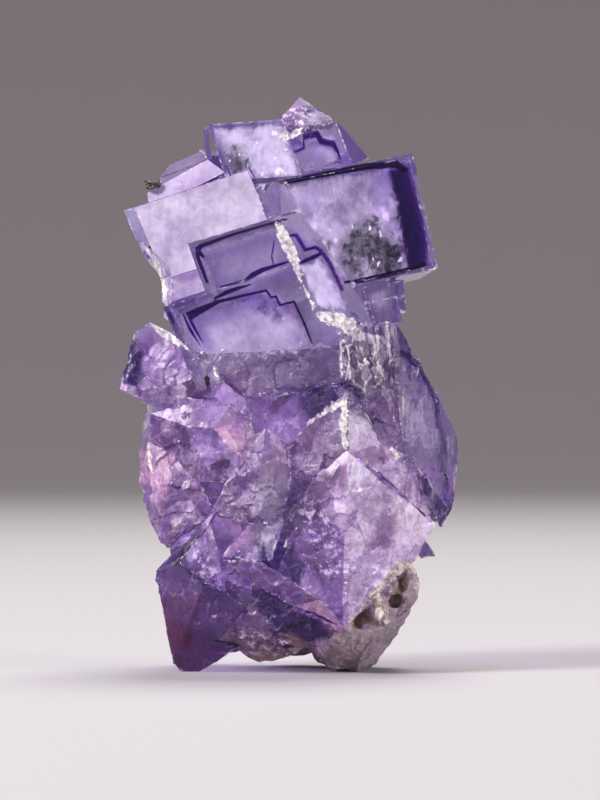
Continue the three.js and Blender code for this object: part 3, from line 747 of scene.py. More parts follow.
def crystal_material(spec):
    """Glass that takes light up on the way through, under a milky surface by the painted share, with the
    white, dark, violet and stony lines, the specks, the folds and the splinters laid over it in turn. The
    white at sharp edges is partly wear and partly painted glint, the lilac sparkles are painted glints, the
    folds' shards and the splinters' streaks are painted reflections, and one violet line is painted shade."""
    f = Finish("Fluorite")
    place = f.place()
    tint = f.attribute("tint", colour=True)
    milk, frost, rough = (f.attribute(name) for name in ("milk", "frost", "rough"))
    fluted, folded, specks = (f.attribute(name) for name in ("fluted", "folded", "specks"))
    cloud = f.noise(place, 4.5, 3.0, 0.55, seed=1.0)
    wisp = f.noise(place, 1.6, 4.0, 0.72, 0.9, seed=2.0)
    grain = f.noise(place, 0.42, 4.0, 0.66, seed=3.0)
    streak = f.noise(f.turned(place, (0.3, 0.5, 0.2), (2.6, 1.0, 0.35)), 1.6, 3.0, 0.62, seed=4.0)
    point = f.noise(place, 0.75, 3.0, 0.6, seed=6.0)
    bent = f.warped(f.turned(place, (0.4, 0.3, 0.5), (1.0, 1.0, 0.7)), 2.2, 1.6, seed=8.0)
    tone, border = f.shards(bent, 2.6)
    lit = (wisp - 0.52).between(-0.06, 0.06)
    line = (1 - border.between(0.0, 0.035)) * rough * (cloud - 0.45).between(0.0, 0.1)
    mottle = (wisp - 0.5) * 0.6 + (cloud - 0.5) * 0.7 + (streak - 0.5) * (fluted * 2.0 + 0.2)
    mottle = mottle + ((tone - 0.5) * 0.24 + (grain - 0.5) * 0.45) * rough
    jag = (wisp - 0.5) * 0.7 + (grain - 0.5) * 0.8
    edge = (f.attribute("white") + jag).between(-0.02, 0.16)
    # worn: white along every sharp edge where the noise is high, partly chipped wear and partly a painted
    # glint of edges that catch the light.
    worn = (1 - f.attribute("rim").between(0.05, 0.2)) * (grain + wisp - 1.03).between(0.0, 0.1)
    edge = edge.most(worn * 0.7)
    crust = (f.attribute("dark") + jag).between(-0.02, 0.12)
    # zone: the deep violet of the violet lines, mostly growth zones and one painted shade in a hollow.
    zone = f.attribute("violet") + (wisp - 0.5) * (rough * 0.8 + 0.1) + (grain - 0.5) * 0.3
    zone = zone.between(-0.05, 0.12)
    stone = (f.attribute("stone") + (cloud - 0.5) * 2.6 + jag * 1.8).between(-0.1, 0.4)
    haze = (milk * (mottle * 1.2 + 1)).clamp()
    share = haze.most(edge * 0.95).most(crust).most(stone).most(folded * 0.8)
    deep = f.blend(1.0, tint, "86649f", "MULTIPLY")
    light = f.blend(0.4, tint, "f2e8f8")
    vary = mottle * (rough * 0.8 + 0.4)
    # sheen: grey to white shards for the folds, painted reflections of glossy broken faces.
    sheen = f.ramp(
        tone * 0.45 + wisp * 0.3 + streak * 0.25,
        ((0.15, "4a3c52"), (0.4, "77687c"), (0.7, "a596a4"), (0.85, "f4ecf0")),
    )
    colour = f.layers(
        tint,
        ((0.46 - vary * 2.0).clamp(), deep),
        ((vary * 2.4 - 0.2).clamp() * 0.9, light),
        # On the splinters, painted reflections: dark streaks and white highlights of glossy broken faces.
        (((streak - 0.53) * 6.0 * fluted).clamp() * 0.8, "3e3052"),
        (((streak - 0.5) * -9.0 * fluted - 0.3).clamp() * 0.8, "e8dee6"),
        (folded * 0.85, sheen),
        ((0.485 - point).between(0.0, 0.07) * specks * 0.75, "402a68"),
        ((point - 0.535).between(0.0, 0.06) * specks * 0.75, light),
        # Lilac sparkles among the specks: painted glints.
        ((point + grain + wisp * 0.8 - 1.5).between(0.0, 0.06) * specks * 0.7, "d2bcec"),
        (zone * 0.9, "2c164e"),
        (line * (0.5 - lit * 0.38), f.blend(lit, "3c2a60", "e6dcf0")),
        # White borders of the fold shards: painted glints.
        ((1 - border.between(0.0, 0.06)) * folded, "fbf5f8"),
        (stone, f.blend(((wisp + grain - 1.0) * 3.0 + 0.5).clamp(), "80706c", "e6dcd2")),
        (edge, f.blend((grain * 2.6 + streak * 1.8 - 1.75).clamp(), "8a7c90", "fbf5f0")),
        (crust, "2c2226"),
    )
    relief = f.bump(wisp * 0.7 + streak * fluted * 1.2 + point * specks * 0.5, 0.35, rough * 0.5 + 0.03)
    relief = f.bump(grain + wisp * stone * 3.0, 0.09, (rough * 0.3 + edge + stone + 0.06).clamp(), relief)
    gloss = (0.5 + (cloud - 0.5) * 1.2 + (wisp - 0.5) * 0.8).clamp()
    glass = f.principled(
        base_color="f8f2ff", roughness=(frost * 0.6 * wisp + 0.015).clamp(), ior=FLUORITE_IOR,
        transmission_weight=1.0, specular_ior_level=0.35, normal=relief,
    )
    dullness = (frost * 0.3 + gloss * 0.4 + edge * 0.4 + 0.06).clamp()
    milky = f.principled(
        base_color=colour, roughness=dullness, ior=FLUORITE_IOR, specular_ior_level=0.3, normal=relief,
    )
    surface = f.mix_shaders(share, glass, milky)
    surface = f.lets_lamps_in(surface, "e6dcf0", 0.8)
    return f.done(surface, f.absorbs(spec.crystal_colour, spec.crystal_density))


def paint(points, faces, facet, middle, facing):
    """The colour, milkiness and frosting at each corner of each face. A corner takes the nearest place of the
    palette, seen from the front, softened over a fraction of a millimetre and shifted a little by lattice
    noise. On the cubes the whole facet takes what its middle does. On the broken half the corner's own place
    counts too. Behind, it is a plain lilac with a little chance in it."""
    at_a_time, softness, own_share = 8000, 0.12, 0.65
    random = np.random.default_rng(7)
    rows = np.array([
        (x, z, *rgb(code)[:3], milk, frost) for _, code, milk, frost, spots in PALETTE for x, z in spots
    ])
    count = len(middle)
    front = smoothstep(-facing[:, 1], -0.1, 0.25)
    back = np.concatenate([
        np.array(rgb(BACK_TINT)[:3]) + random.normal(0, 0.05, (count, 3)),
        random.uniform(0.3, 0.7, (count, 1)), random.uniform(0.05, 0.3, (count, 1)),
    ], axis=1)
    warp = np.stack([lattice_noise(points, 1.5, 31), lattice_noise(points, 1.5, 32)], axis=1) - 0.5
    flat = points[:, [0, 2]] + warp * 1.4
    result = np.zeros((len(faces), 3, 5))
    for start in range(0, len(faces), at_a_time):
        part = slice(start, start + at_a_time)
        centre = middle[facet[part]][:, None, [0, 2]]
        own = np.where(centre[..., 1:] < CUBES_FROM, own_share, 0.0)
        spot = centre + (flat[faces[part]] - centre) * own
        gap = np.linalg.norm(spot[:, :, None] - rows[:, :2], axis=3)
        weight = np.exp((gap.min(axis=2, keepdims=True) - gap) / softness)
        result[part] = (weight @ rows[:, 2:]) / weight.sum(axis=2, keepdims=True)
    share = front[facet][:, None, None]
    result = result * share + np.clip(back, 0.03, 0.95)[facet][:, None] * (1 - share)
    result[..., :3] *= random.uniform(0.88, 1.12, count)[facet][:, None, None]
    return result


def crystal(spec):
    """The crystal group. Its solid's faces are split finely at the front of the broken half. There each point
    moves along its normal by two sizes of cleavage steps and two of lattice noise, with stronger steps on the
    folds and a rise along the clinging rock. It moves less on the calm tip, and the cubes stay flat."""
    points, faces = node_mesh("fluorite")
    facet = facets_of(points, faces)
    unit, area = face_normals(points, faces)
    count = facet.max() + 1
    weight = np.bincount(facet, area, count)
    centre = points[faces].mean(axis=1)
    middle, facing = (
        sums_by(facet, item * area[:, None], count) / weight[:, None] for item in (centre, unit)
    )
    grain = spec.crystal_grain / MM

    def longest(places):
        """The grain at the broken front and on worn and layered lines, and three times it elsewhere."""
        low = (places[:, 2] < 35.5) & (places[:, 1] < -4)
        fine = (nearest(places, WORN_LINES + LAYER_LINES) < 0.6) & (places[:, 1] < -1)
        return np.where(low | fine, grain, grain * 3)

    points, faces, facet = refine(points, faces, facet, longest)
    painted = paint(points, faces, facet, middle, facing)
    edges, where = edges_of(faces)
    pairs = neighbours(where)
    bend = (facing[facet[pairs[:, 0]]] * facing[facet[pairs[:, 1]]]).sum(axis=1)
    sharp = np.unique(edges[(bend < 0.8) & (facet[pairs[:, 0]] != facet[pairs[:, 1]])])
    rim = distance_to(points, points[sharp])

    behind = smoothstep(points[:, 1], -3.0, -1.0) * 5
    white, dark, violet, stone, worn, specks = (
        behind + nearest(points, lines)
        for lines in (WHITE_LINES, DARK_LINES, VIOLET_LINES, STONE_LINES, WORN_LINES, SPECK_LINES)
    )
    low = smoothstep(-points[:, 2], -35.5, -33.5)
    broken = np.maximum(low, smoothstep(-worn, -0.4, 0.2)) * smoothstep(points[:, 2], 0.0, 1.0)
    folded = smoothstep(-behind - nearest(points, FOLD_LINES), -0.6, 0.4)
    flank = smoothstep(points[:, 0], 11.5, 13.0) * smoothstep(points[:, 2], 14.0, 17.0) * low
    fluted = np.maximum(smoothstep(-behind - nearest(points, SPLINTER_LINES), -0.6, 0.5), 0.4 * flank)
    points = relax(points, faces, 0.3 * broken, 1)
    normal = point_normals(points, faces)
    waves = (
        0.30 * (lattice_noise(points, 3.0, 1) - 0.5)
        + cleavage_steps(points, 3.2, 0.08, 0.14, 5)
        + cleavage_steps(points, 1.2, 0.10, 0.08, 6) * smoothstep(lattice_noise(points, 4.0, 9), 0.45, 0.65)
        + 0.06 * (lattice_noise(points, 0.6, 3) - 0.5)
        + cleavage_steps(points * [1, 1, 0.6], 1.3, 0.3, 0.4, 7) * folded
        + 0.15 * smoothstep(-stone, -0.3, 0.1) * low
    )
    calm = 1 - 0.7 * smoothstep(-np.hypot(points[:, 0] - TIP[0], points[:, 2] - TIP[1]), -4.2, -3.0)
    points = points + normal * (np.clip(waves, -0.5, 0.5) * broken * calm)[:, None]
    points[:, 2] = np.maximum(points[:, 2], 0)
    piece = new_piece("fluorite_crystals", points, faces, crystal_material(spec), smooth=16)
    attributes = piece.data.attributes
    colours = np.ones((len(faces) * 3, 4), np.float32)
    colours[:, :3] = painted[..., :3].reshape(-1, 3)
    attributes.new("tint", "FLOAT_COLOR", "CORNER").data.foreach_set("color", colours.ravel())
    for name, column in (("milk", 3), ("frost", 4)):
        values = painted[..., column].ravel().astype(np.float32)
        attributes.new(name, "FLOAT", "CORNER").data.foreach_set("value", values)
    mark(piece, {
        "fluted": fluted, "folded": folded, "rough": broken * calm, "rim": rim, "stone": -stone,
        "violet": -violet, "white": -white, "dark": -dark, "specks": smoothstep(-specks, -0.5, 0.5),
    })
    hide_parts("fluorite")


# ---------------------------------------------------------------- the growth zones
# The cubes' front faces: the upper left corner, the top edge, the left edge and how far the face stands
# in front of them.
FACES = {
    "right": ((-2.9, -9.0, 51.0), (15.7, 2.2, 3.2), (2.6, -0.4, -12.0), 0.7),
    "middle": ((-10.6, -10.2, 44.7), (13.6, -1.0, 4.0), (3.4, -1.2, -9.2), 0),
    "front": ((-13.1, -10.8, 38.1), (18.2, -1.5, 5.9), (3.6, -0.6, -8.6), 0),
    "top": ((-0.7, -6.2, 55.9), (5.5, 0.0, 1.7), (0.7, -1.6, -3.7), 0),
    "topLeft": ((-8.6, -7.2, 57.2), (7.8, -0.7, 0.5), (2.0, -1.4, -5.9), 0),
    "cleaved": ((-1.7, -11.4, 47.0), (3.9, 2.8, 1.3), (4.8, -1.0, -9.7), 0),
    "small": ((6.3, -8.6, 40.0), (5.6, 1.4, 1.0), (0.2, 0.2, -3.4), 0),
}
# Broken faces that show a growth zone, by three corners.
BROKEN_FACES = {
    "flank": ((11.0, -6.6, 36.7), (17.7, -3.4, 21.3), (12.0, -10.2, 22.0)),
    "shoulder": ((-16.2, -6.8, 35.5), (-8.6, -10.2, 31.2), (-17.2, -8.6, 29.4)),
}
# Dark walls under each face: face, depth, reach, lean, and the line's corners as u, v, width.
ZONE_WALLS = (
    ("right", 0.9, 2.2, (0, 0), ((0.1, 0.34, 0.26), (3.0, 0.3, 0.44), (8.0, 0.3, 0.5), (11.5, 0.36, 0.6),
        (14.3, 0.7, 0.66), (15.2, 1.6, 0.6))),
    ("right", 0.9, 9.0, (-1.9, 0), ((15.3, 1.3, 0.5), (15.6, 4.9, 0.6), (15.6, 9.2, 0.6),
        (15.1, 11.7, 0.5))),
    ("right", 1.3, 8.0, (-1.9, 0), ((14.6, 1.2, 0.3), (14.9, 5.0, 0.3), (14.8, 9.2, 0.3),
        (14.5, 11.6, 0.25))),
    ("right", 1.5, 7.0, (-1.2, 0), ((14.0, 1.2, 0.25), (14.1, 5.0, 0.2), (13.9, 9.2, 0.2),
        (13.8, 11.6, 0.2))),
    ("right", 0.9, 2.0, (0, 0), ((15.1, 11.5, 0.5), (13.1, 11.75, 0.5), (10.9, 11.85, 0.46),
        (7.7, 11.9, 0.42), (6.0, 11.9, 0.2))),
    ("middle", 0.8, 1.2, (0, 0), ((0.45, 4.4, 0.3), (0.45, 1.5, 0.34), (0.75, 0.7, 0.5), (1.2, 0.5, 0.4),
        (4.5, 0.3, 0.22), (8.5, 0.32, 0.16), (10.3, 0.35, 0.12))),
    ("middle", 0.8, 1.6, (0, 0), ((0.7, 0.9, 0.5), (1.0, 1.7, 0.3))),
    ("middle", 0.8, 1.2, (0, 0), ((1.6, 5.2, 0.1), (4.2, 5.3, 0.24), (5.2, 4.95, 0.5), (6.3, 4.75, 0.45),
        (8.2, 4.7, 0.25), (10.0, 4.7, 0.12))),
    ("middle", 0.8, 1.0, (0, 0), ((8.5, 2.2, 0.1), (7.7, 3.6, 0.12), (7.55, 4.7, 0.12))),
    ("front", 0.8, 1.4, (0, 0), ((1.9, 1.65, 0.95), (3.4, 1.4, 0.7), (5.5, 1.15, 0.32), (8.0, 1.35, 0.24),
        (10.5, 1.6, 0.2), (10.65, 2.45, 0.2), (11.17, 2.5, 0.2), (11.2, 3.5, 0.2), (12.7, 3.58, 0.2),
        (12.8, 6.0, 0.22), (12.76, 7.4, 0.2), (12.75, 8.5, 0.16))),
    ("front", 0.8, 1.2, (0, 0), ((1.55, 1.2, 0.12), (1.6, 3.0, 0.3), (1.9, 4.8, 0.06))),
    ("front", 0.8, 1.2, (0, 0), ((1.95, 1.6, 0.3), (2.1, 3.2, 0.26), (2.3, 4.6, 0.08))),
    ("front", 0.8, 1.4, (0, 0), ((5.1, 1.0, 0.1), (5.3, 0.7, 0.2), (6.6, 0.5, 0.45), (7.8, 0.45, 0.35),
        (9.3, 0.5, 0.06))),
    ("front", 0.7, 1.0, (0, 0), ((0.25, 0.6, 0.24), (0.3, 1.9, 0.2))),
    ("cleaved", 0.5, 0.9, (0, 0), ((1.1, 1.85, 0.14), (2.2, 2.0, 0.3), (2.4, 3.8, 0.3), (3.7, 3.85, 0.3),
        (4.2, 4.45, 0.3), (4.45, 6.0, 0.26), (4.35, 9.1, 0.2))),
    ("cleaved", 0.5, 0.9, (0, 0), ((0.5, 5.0, 0.3), (3.3, 4.76, 0.4), (4.2, 4.6, 0.3))),
    ("top", 0.7, 1.2, (0, 0), ((2.0, 0.25, 0.4), (3.5, 0.35, 0.5), (3.8, 1.3, 0.55), (5.0, 2.0, 0.5),
        (5.3, 3.0, 0.3), (5.4, 3.9, 0.16))),
    ("top", 0.7, 0.9, (0, 0), ((0.2, 1.75, 0.16), (1.9, 1.5, 0.2), (2.0, 0.6, 0.14))),
    ("topLeft", 0.6, 1.0, (0, 0), ((0.5, 4.6, 0.2), (0.55, 6.1, 0.14))),
    ("small", 0.4, 0.8, (0, 0), ((1.4, 0.5, 0.2), (1.7, 1.7, 0.2), (2.2, 3.1, 0.16))),
    ("small", 0.5, 0.9, (0, 0), ((5.2, 0.4, 0.3), (5.0, 1.6, 0.4), (4.6, 2.9, 0.3))),
    ("topLeft", 0.6, 1.0, (0, 0), ((2.7, 4.9, 0.2), (3.0, 6.1, 0.14))),
    ("flank", 0.5, 0.8, (0, 0), ((0.2, 3.2, 0.3), (1.6, 3.4, 0.8), (3.2, 5.2, 0.7), (4.6, 7.5, 0.5),
        (5.0, 9.5, 0.4), (4.4, 12.6, 0.35), (4.1, 16.0, 0.3))),
    ("shoulder", 0.5, 1.6, (0.3, 0), ((0.7, 0.9, 0.3), (0.2, 3.0, 0.7), (-0.2, 5.6, 0.6))),
)
VEIL_MARKS = ("inside", "bright", "mottling", "spot")
# Walls that reach at least this deep are bands.
BAND_REACH = 4
# Pale sheets behind them: face, outline of u and v, depth, bump, seed, brightness, mottling, and dark spots
# as u, v, radius. Above MOSSY the mottling is coarse and the spots are green instead of violet.
MOSSY = 0.9
VEILS = (
    ("right", ((0.2, 0.2), (14.1, 0.5), (13.8, 12.2), (4.6, 12.6), (4.8, 7.8), (3.4, 4.8), (1.8, 2.6)),
        3.4, 1.6, 11, 0.95, 1.1,
        ((9.2, 8.4, 2.6), (8.2, 9.8, 1.9), (11.2, 9.8, 2.6), (10.4, 6.8, 1.5), (5.6, 7.4, 0.4))),
    ("middle", ((0.6, 0.6), (10.4, 0.5), (10.2, 9.4), (0.7, 9.4)), 2.7, 0.5, 12, 0.34, 0.6, ()),
    ("middle", ((0.1, 0.1), (12.0, 0.1), (12.0, 9.6), (0.1, 9.6)), 4.6, 0.5, 18, 0.55, 0.4, ()),
    ("front", ((1.0, 1.2), (10.6, 1.4), (12.8, 3.6), (13.0, 9.0), (1.6, 9.0)), 2.4, 0.4, 13, 0.66, 0.6,
        ((9.8, 3.2, 0.9), (10.4, 4.4, 0.6), (6.0, 2.4, 0.3))),
    ("front", ((0.1, 0.1), (17.0, 0.1), (17.0, 9.2), (0.1, 9.2)), 4.4, 0.4, 17, 0.52, 0.5, ()),
    ("top", ((0.3, 0.3), (5.4, 0.3), (5.4, 4.0), (0.3, 4.0)), 2.6, 0.8, 14, 0.62, 0.6, ()),
    ("topLeft", ((0.1, -0.1), (7.9, -0.1), (7.9, 6.4), (0.1, 6.4)), 1.9, 0.7, 15, 0.70, 1.0,
        ((1.5, 3.9, 1.6),)),
    ("small", ((1.6, 0.5), (4.6, 0.5), (4.2, 3.0), (2.3, 3.1)), 0.9, 0.3, 19, 0.8, 1.0, ()),
    ("cleaved", ((0.5, 5.1), (3.3, 4.9), (3.8, 6.4), (4.0, 10.3), (3.6, 11.6), (0.0, 10.0)),
        0.6, 0.2, 16, 1.0, 0.6, ()),
)


def zone_material(name, colour, density):
    """Nothing to see at the surface, and dark inside."""
    f = Finish(name)
    return f.done(f.clear(), f.absorbs(colour, density))


def growth_zones(spec):
    """Thin walls near the faces in the dark colour, and deep ones, which take up less light a millimetre."""
    kinds = (
        ("growth_lines", "Growth line", 1.0, False),
        ("growth_bands", "Growth band", spec.band_share, True),
    )
    for name, label, share, deep in kinds:
        material = zone_material(label, spec.zone_colour, spec.zone_density * share)
        walls = [wall(*row) for row in ZONE_WALLS if (row[2] >= BAND_REACH) == deep]
        piece = new_piece(name, *gather(walls), material)
        outward(piece)


def cloud_material():
    """Milk that fades at the outline, with soft and fine mottling, with haze and dirt in the spots, and with
    painted glints.
    """
    f = Finish("Milky veil")
    place = f.place()
    inside, bright, mottling, spot = (f.attribute(name) for name in VEIL_MARKS)
    soft = f.noise(place, 3.2, 4.0, 0.6, seed=21.0)
    fine = f.noise(f.turned(place, (0.0, 0.25, 0.0), (1.3, 1.0, 0.9)), 1.3, 4.0, 0.68, 0.8, seed=22.0)
    speck = f.noise(place, 0.5, 3.0, 0.6, seed=23.0)
    fleck = f.noise(f.turned(place, (0.0, 0.2, 0.0), (1.6, 1.0, 0.9)), 1.1, 2.0, 0.5, seed=24.0)
    light = (soft - 0.5) * 2.2 + (fine - 0.5) * 1.4
    mossy = (mottling - MOSSY).between(0.0, 0.1)
    far = (spot * -0.12 - 0.25).clamp() * mossy
    # shine: white flecks in the milk, painted glints of cracks that catch the light.
    shine = (fleck - 0.62).between(0.0, 0.05) * (soft - 0.45).between(0.0, 0.1) * mossy
    shine = shine.most((speck * 0.3 + fleck - 0.78).between(0.0, 0.05) * (spot + 0.4).clamp())
    moss = ((soft - 0.5) * -2.0 + (fine - 0.5) * 1.0 + 0.1 - far).clamp() * mossy
    near = (spot + 1.0).clamp() * (mossy * 0.2 + 0.8)
    haze = (spot * 0.5 + (fine - 0.5) * 3.0 + 0.4).clamp() * near
    dirt = (spot.least(1.2) * 0.45 + (fine - 0.5) * 4.0 + (speck - 0.5) * 2.0 + 0.1).clamp() * near
    colour = f.layers(
        f.blend((light * mottling + far + 0.6 + mossy * 0.2).clamp(), "a89cb6", "faf5fd"),
        (((fine - 0.58) * 2.0 * mottling + (1 - mossy) * 0.3).clamp(), "c4bcee"),
        (1 - bright, "4c3e66"),
        (moss * 0.7, "8a888e"),
        (haze * 0.8, f.blend(mossy, "4a3a7c", "465048")),
        (dirt, f.blend(mossy, "3a2a66", "060a08")),
        (shine, "fffaff"),
    )
    rim = (inside + (fine - 0.5) * 1.6).between(0.0, 0.9)
    share = (0.85 + (light - 0.1) * mottling * 0.6 + dirt + shine).clamp() * rim
    milky = f.principled(base_color=colour, roughness=0.55, normal=f.bump(fine, 0.2, 0.5))
    return f.done(f.mix_shaders(share, f.clear(), milky))


def clouds():
    """The cloudy sheets inside the cubes, as one piece."""
    made = [veil(*row) for row in VEILS]
    points, faces = gather([m[:2] for m in made])
    piece = new_piece("milky_veils", points, faces, cloud_material(), smooth=60)
    mark(piece, dict(zip(VEIL_MARKS, np.vstack([m[2] for m in made]).T)))
    outward(piece)


# The cracks' half thickness, and the middle and half axes of the ellipsoid that holds them.
CRACK_HALF = 0.03
CRACK_MIDDLE = (0.5, -2.0, 18.5)
CRACK_REACH = (11.0, 5.0, 12.5)


def crack_material():
    """Bright patches of a crack that shine, with clear places between them."""
    f = Finish("Cleavage crack")
    place = f.place()
    sheen = f.noise(place, 1.2, 4.0, 0.6, 0.5, seed=26.0)
    share = ((sheen - 0.42) * 3.5).clamp() * 0.7
    bright = f.principled(base_color="efe6f4", roughness=0.12 + sheen * 0.3, ior=FLUORITE_IOR)
    return f.done(f.mix_shaders(share, f.clear(), bright))


def cracks(spec):
    """Short cleavage cracks inside the broken half. Each is a thin five-sided plate that lies in one of the
    four directions in which fluorite splits, at a place drawn within an ellipsoid."""
    random = np.random.default_rng(19)
    count = spec.crack_count
    ways = np.array([[1, 1, 1], [-1, 1, 1], [1, -1, 1], [1, 1, -1]]) / math.sqrt(3)
    tilt = np.array([[0.95, 0.08, 0.29], [-0.10, 0.99, 0.05], [-0.28, -0.08, 0.96]])
    normal = (ways @ tilt.T)[random.integers(0, 4, count)]
    normal /= np.linalg.norm(normal, axis=1)[:, None]
    first = np.cross(normal, [0.1, 0.2, 1.0])
    first /= np.linalg.norm(first, axis=1)[:, None]
    second = np.cross(normal, first)
    place = random.normal(size=(count, 3))
    place *= (random.uniform(0, 1, (count, 1)) ** (1 / 3)) / np.linalg.norm(place, axis=1)[:, None]
    middle = np.array(CRACK_MIDDLE) + place * CRACK_REACH
    turn = np.linspace(0, 2 * math.pi, 6)[:-1] + random.uniform(0, 1, (count, 5))
    size = random.uniform(0.5, 2.2, (count, 1)) * random.uniform(0.6, 1.0, (count, 5))
    rim = (
        middle[:, None]
        + (size * np.cos(turn))[..., None] * first[:, None]
        + (size * np.sin(turn))[..., None] * second[:, None]
    )
    half = normal[:, None] * CRACK_HALF
    points = np.concatenate([rim + half, rim - half], axis=1).reshape(-1, 3)
    base = np.arange(count)[:, None] * 10
    k = np.arange(5)
    caps = np.concatenate([base + k, base + 5 + k[::-1]])
    nxt = (k + 1) % 5
    sides = np.stack([base + k, base + 5 + k, base + 5 + nxt, base + nxt], axis=2).reshape(-1, 4)
    faces = caps.tolist() + sides.tolist()
    piece = linked("cleavage_cracks", new_mesh("cleavage_cracks", points, faces, crack_material()))
    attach(piece, "root")
    outward(piece)


# ---------------------------------------------------------------- rock and grain
# The rock's hollows and pale rims: x, z, half width.
HOLLOW_LINES = (
    ((6.8, 5.1, 0.5), (7.8, 5.9, 1.0), (8.8, 5.4, 0.5)),
    ((11.8, 10.6, 0.4), (11.7, 9.4, 0.7), (11.0, 8.0, 0.4)),
)
RIM_LINES = (
    ((6.0, 5.3, 0.2), (7.8, 7.5, 0.4), (9.2, 8.9, 0.5), (10.6, 10.6, 0.5), (12.0, 11.6, 0.6),
        (13.1, 10.6, 0.3)),
    ((9.1, 8.2, 0.3), (9.3, 6.6, 0.35), (9.9, 5.6, 0.3), (10.6, 5.6, 0.1)),
    ((13.2, 10.4, 0.1), (13.3, 8.8, 0.2)),
    ((2.2, 4.0, 0.1), (3.6, 4.2, 0.2), (4.6, 4.4, 0.1)),
)


def rock_material():
    """Blotched pale rock, stained violet towards the crystal, with pale rims and brown hollows."""
    f = Finish("Matrix rock")
    place = f.place()
    blotch = f.noise(place, 3.0, 5.0, 0.6, seed=5.0)
    lumps = f.noise(place, 0.9, 4.0, 0.6, 0.4, seed=6.0)
    speck = f.noise(place, 0.3, 3.0, 0.6, seed=7.0)
    jag = (lumps - 0.5) * 1.6 + (speck - 0.5) * 0.8
    hollow = (f.attribute("hollow") + jag * 0.6).between(-0.15, 0.35)
    lip = (f.attribute("lip") + jag).between(-0.1, 0.3)
    stain = (f.attribute("stain") + (blotch - 0.5) * 3.0 + (lumps - 0.5) * 1.2).between(0.0, 0.8)
    colour = f.ramp(
        blotch * 0.3 + lumps * 0.3 + speck * 0.4,
        ((0.36, "5e4c58"), (0.46, "8c7882"), (0.55, "a8959c"), (0.66, "dcd0cc")),
    )
    colour = f.layers(
        colour,
        (stain * 0.5, "665070"),
        (lip * 0.85, f.blend((speck * 2.6 - 0.8).clamp(), "b0a090", "efe6da")),
        (hollow * 0.9, f.blend((lumps * 2.4 - 0.7).clamp(), "3c3024", "8a7c68")),
    )
    relief = f.bump(speck, 0.08, 0.8, f.bump(lumps, 0.3, 0.8))
    return f.done(f.principled(base_color=colour, roughness=0.65 + speck * 0.3, normal=relief))


def rock():
    """The rock with a rugged skin: three sizes of lattice noise and small steps, calmer in the hollows."""
    points, faces = node_mesh("matrix_rock")
    points, faces, _ = refine(
        points, faces, np.zeros(len(faces), int), lambda p: np.where(p[:, 1] < -2, 0.32, 0.9)
    )
    behind = smoothstep(points[:, 1], -4.0, -2.0) * 5
    hollow = -behind - nearest(points, HOLLOW_LINES)
    lip = -behind - nearest(points, RIM_LINES)
    stain = smoothstep(points[:, 0] - points[:, 2] * 0.8, 3.6, 7.0) - 0.4
    waves = (
        0.5 * (lattice_noise(points, 2.2, 41) - 0.5)
        + 0.4 * (lattice_noise(points, 1.0, 42) - 0.5)
        + 0.25 * (lattice_noise(points, 0.5, 43) - 0.5)
        + cleavage_steps(points, 1.6, 0.1, 0.2, 44)
        + 0.1 * smoothstep(lip, -0.3, 0.1)
    ) * (1 - 0.6 * smoothstep(hollow, -0.2, 0.3))
    points = relax(points, faces, np.full(len(points), 0.4), 2)
    points = points + point_normals(points, faces) * (waves * smoothstep(points[:, 2], 0.0, 0.8))[:, None]
    points[:, 2] = np.maximum(points[:, 2], 0)
    piece = new_piece("matrix_rock_skin", points, faces, rock_material(), smooth=40)
    mark(piece, {"hollow": hollow, "lip": lip, "stain": stain})
    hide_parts("matrix_rock")


def grain_material():
    """Near black, with a few pale specks."""
    f = Finish("Dark grain")
    place = f.place()
    lumps = f.noise(place, 0.7, 3.0, 0.6, seed=8.0)
    speck = f.noise(place, 0.22, 3.0, 0.6, seed=9.0)
    colour = f.blend(((lumps + speck - 1.0) * 3.0 + 0.25).clamp(), "120d0c", "4a3c38")
    colour = f.blend((speck + lumps * 0.4 - 0.82).between(0.0, 0.05), colour, "e8dfe0")
    relief = f.bump(speck, 0.05, 0.8, f.bump(lumps, 0.2, 0.8))
    return f.done(f.principled(base_color=colour, roughness=0.45 + speck * 0.3, normal=relief))


def grain():
    """The dark grain, with a skin rugged by two sizes of lattice noise."""
    points, faces = node_mesh("dark_grain")
    points, faces, _ = refine(points, faces, np.zeros(len(faces), int), lambda p: np.full(len(p), 0.12))
    waves = 0.9 * (lattice_noise(points, 0.8, 51) - 0.6) + 0.3 * (lattice_noise(points, 0.3, 52) - 0.5)
    points = points + point_normals(points, faces) * waves[:, None]
    piece = new_piece("dark_grain_skin", points, faces, grain_material(), smooth=40)
    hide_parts("dark_grain")


# ---------------------------------------------------------------- the studio
# The floor is flat to FLOOR_REACH, curves up by CURVE and goes on as a wall up to WALL_TOP, in millimetres.
FLOOR_REACH, CURVE, WALL_TOP = 900, 500, 1500
CURVE_POINTS, FLOOR_SIDES = 16, 96
# Name, place and width in metres, and power in watts. All lamps point at LAMP_AIM.
LAMPS = (
    ("key_light", (-0.72, -0.46, 0.64), 0.38, 15.2),
    ("fill_light", (0.85, -0.45, 0.20), 0.40, 6.5),
    ("top_light", (0.10, 0.30, 0.85), 0.50, 9.0),
)
LAMP_AIM = (0, 0, 0.03)
AIR_COLOUR, AIR_STRENGTH = "e8e6ee", 0.28
# The camera's place in metres, its film height and its lens in millimetres.
CAMERA_PLACE, FILM_HEIGHT, LENS = (0.00104, -0.458, 0.0285), 24.0, 129.8
# How often a ray of light may turn, by kind.
BOUNCES = {
    "max_bounces": 18, "transmission_bounces": 18, "glossy_bounces": 8, "diffuse_bounces": 4,
    "transparent_max_bounces": 64,
}


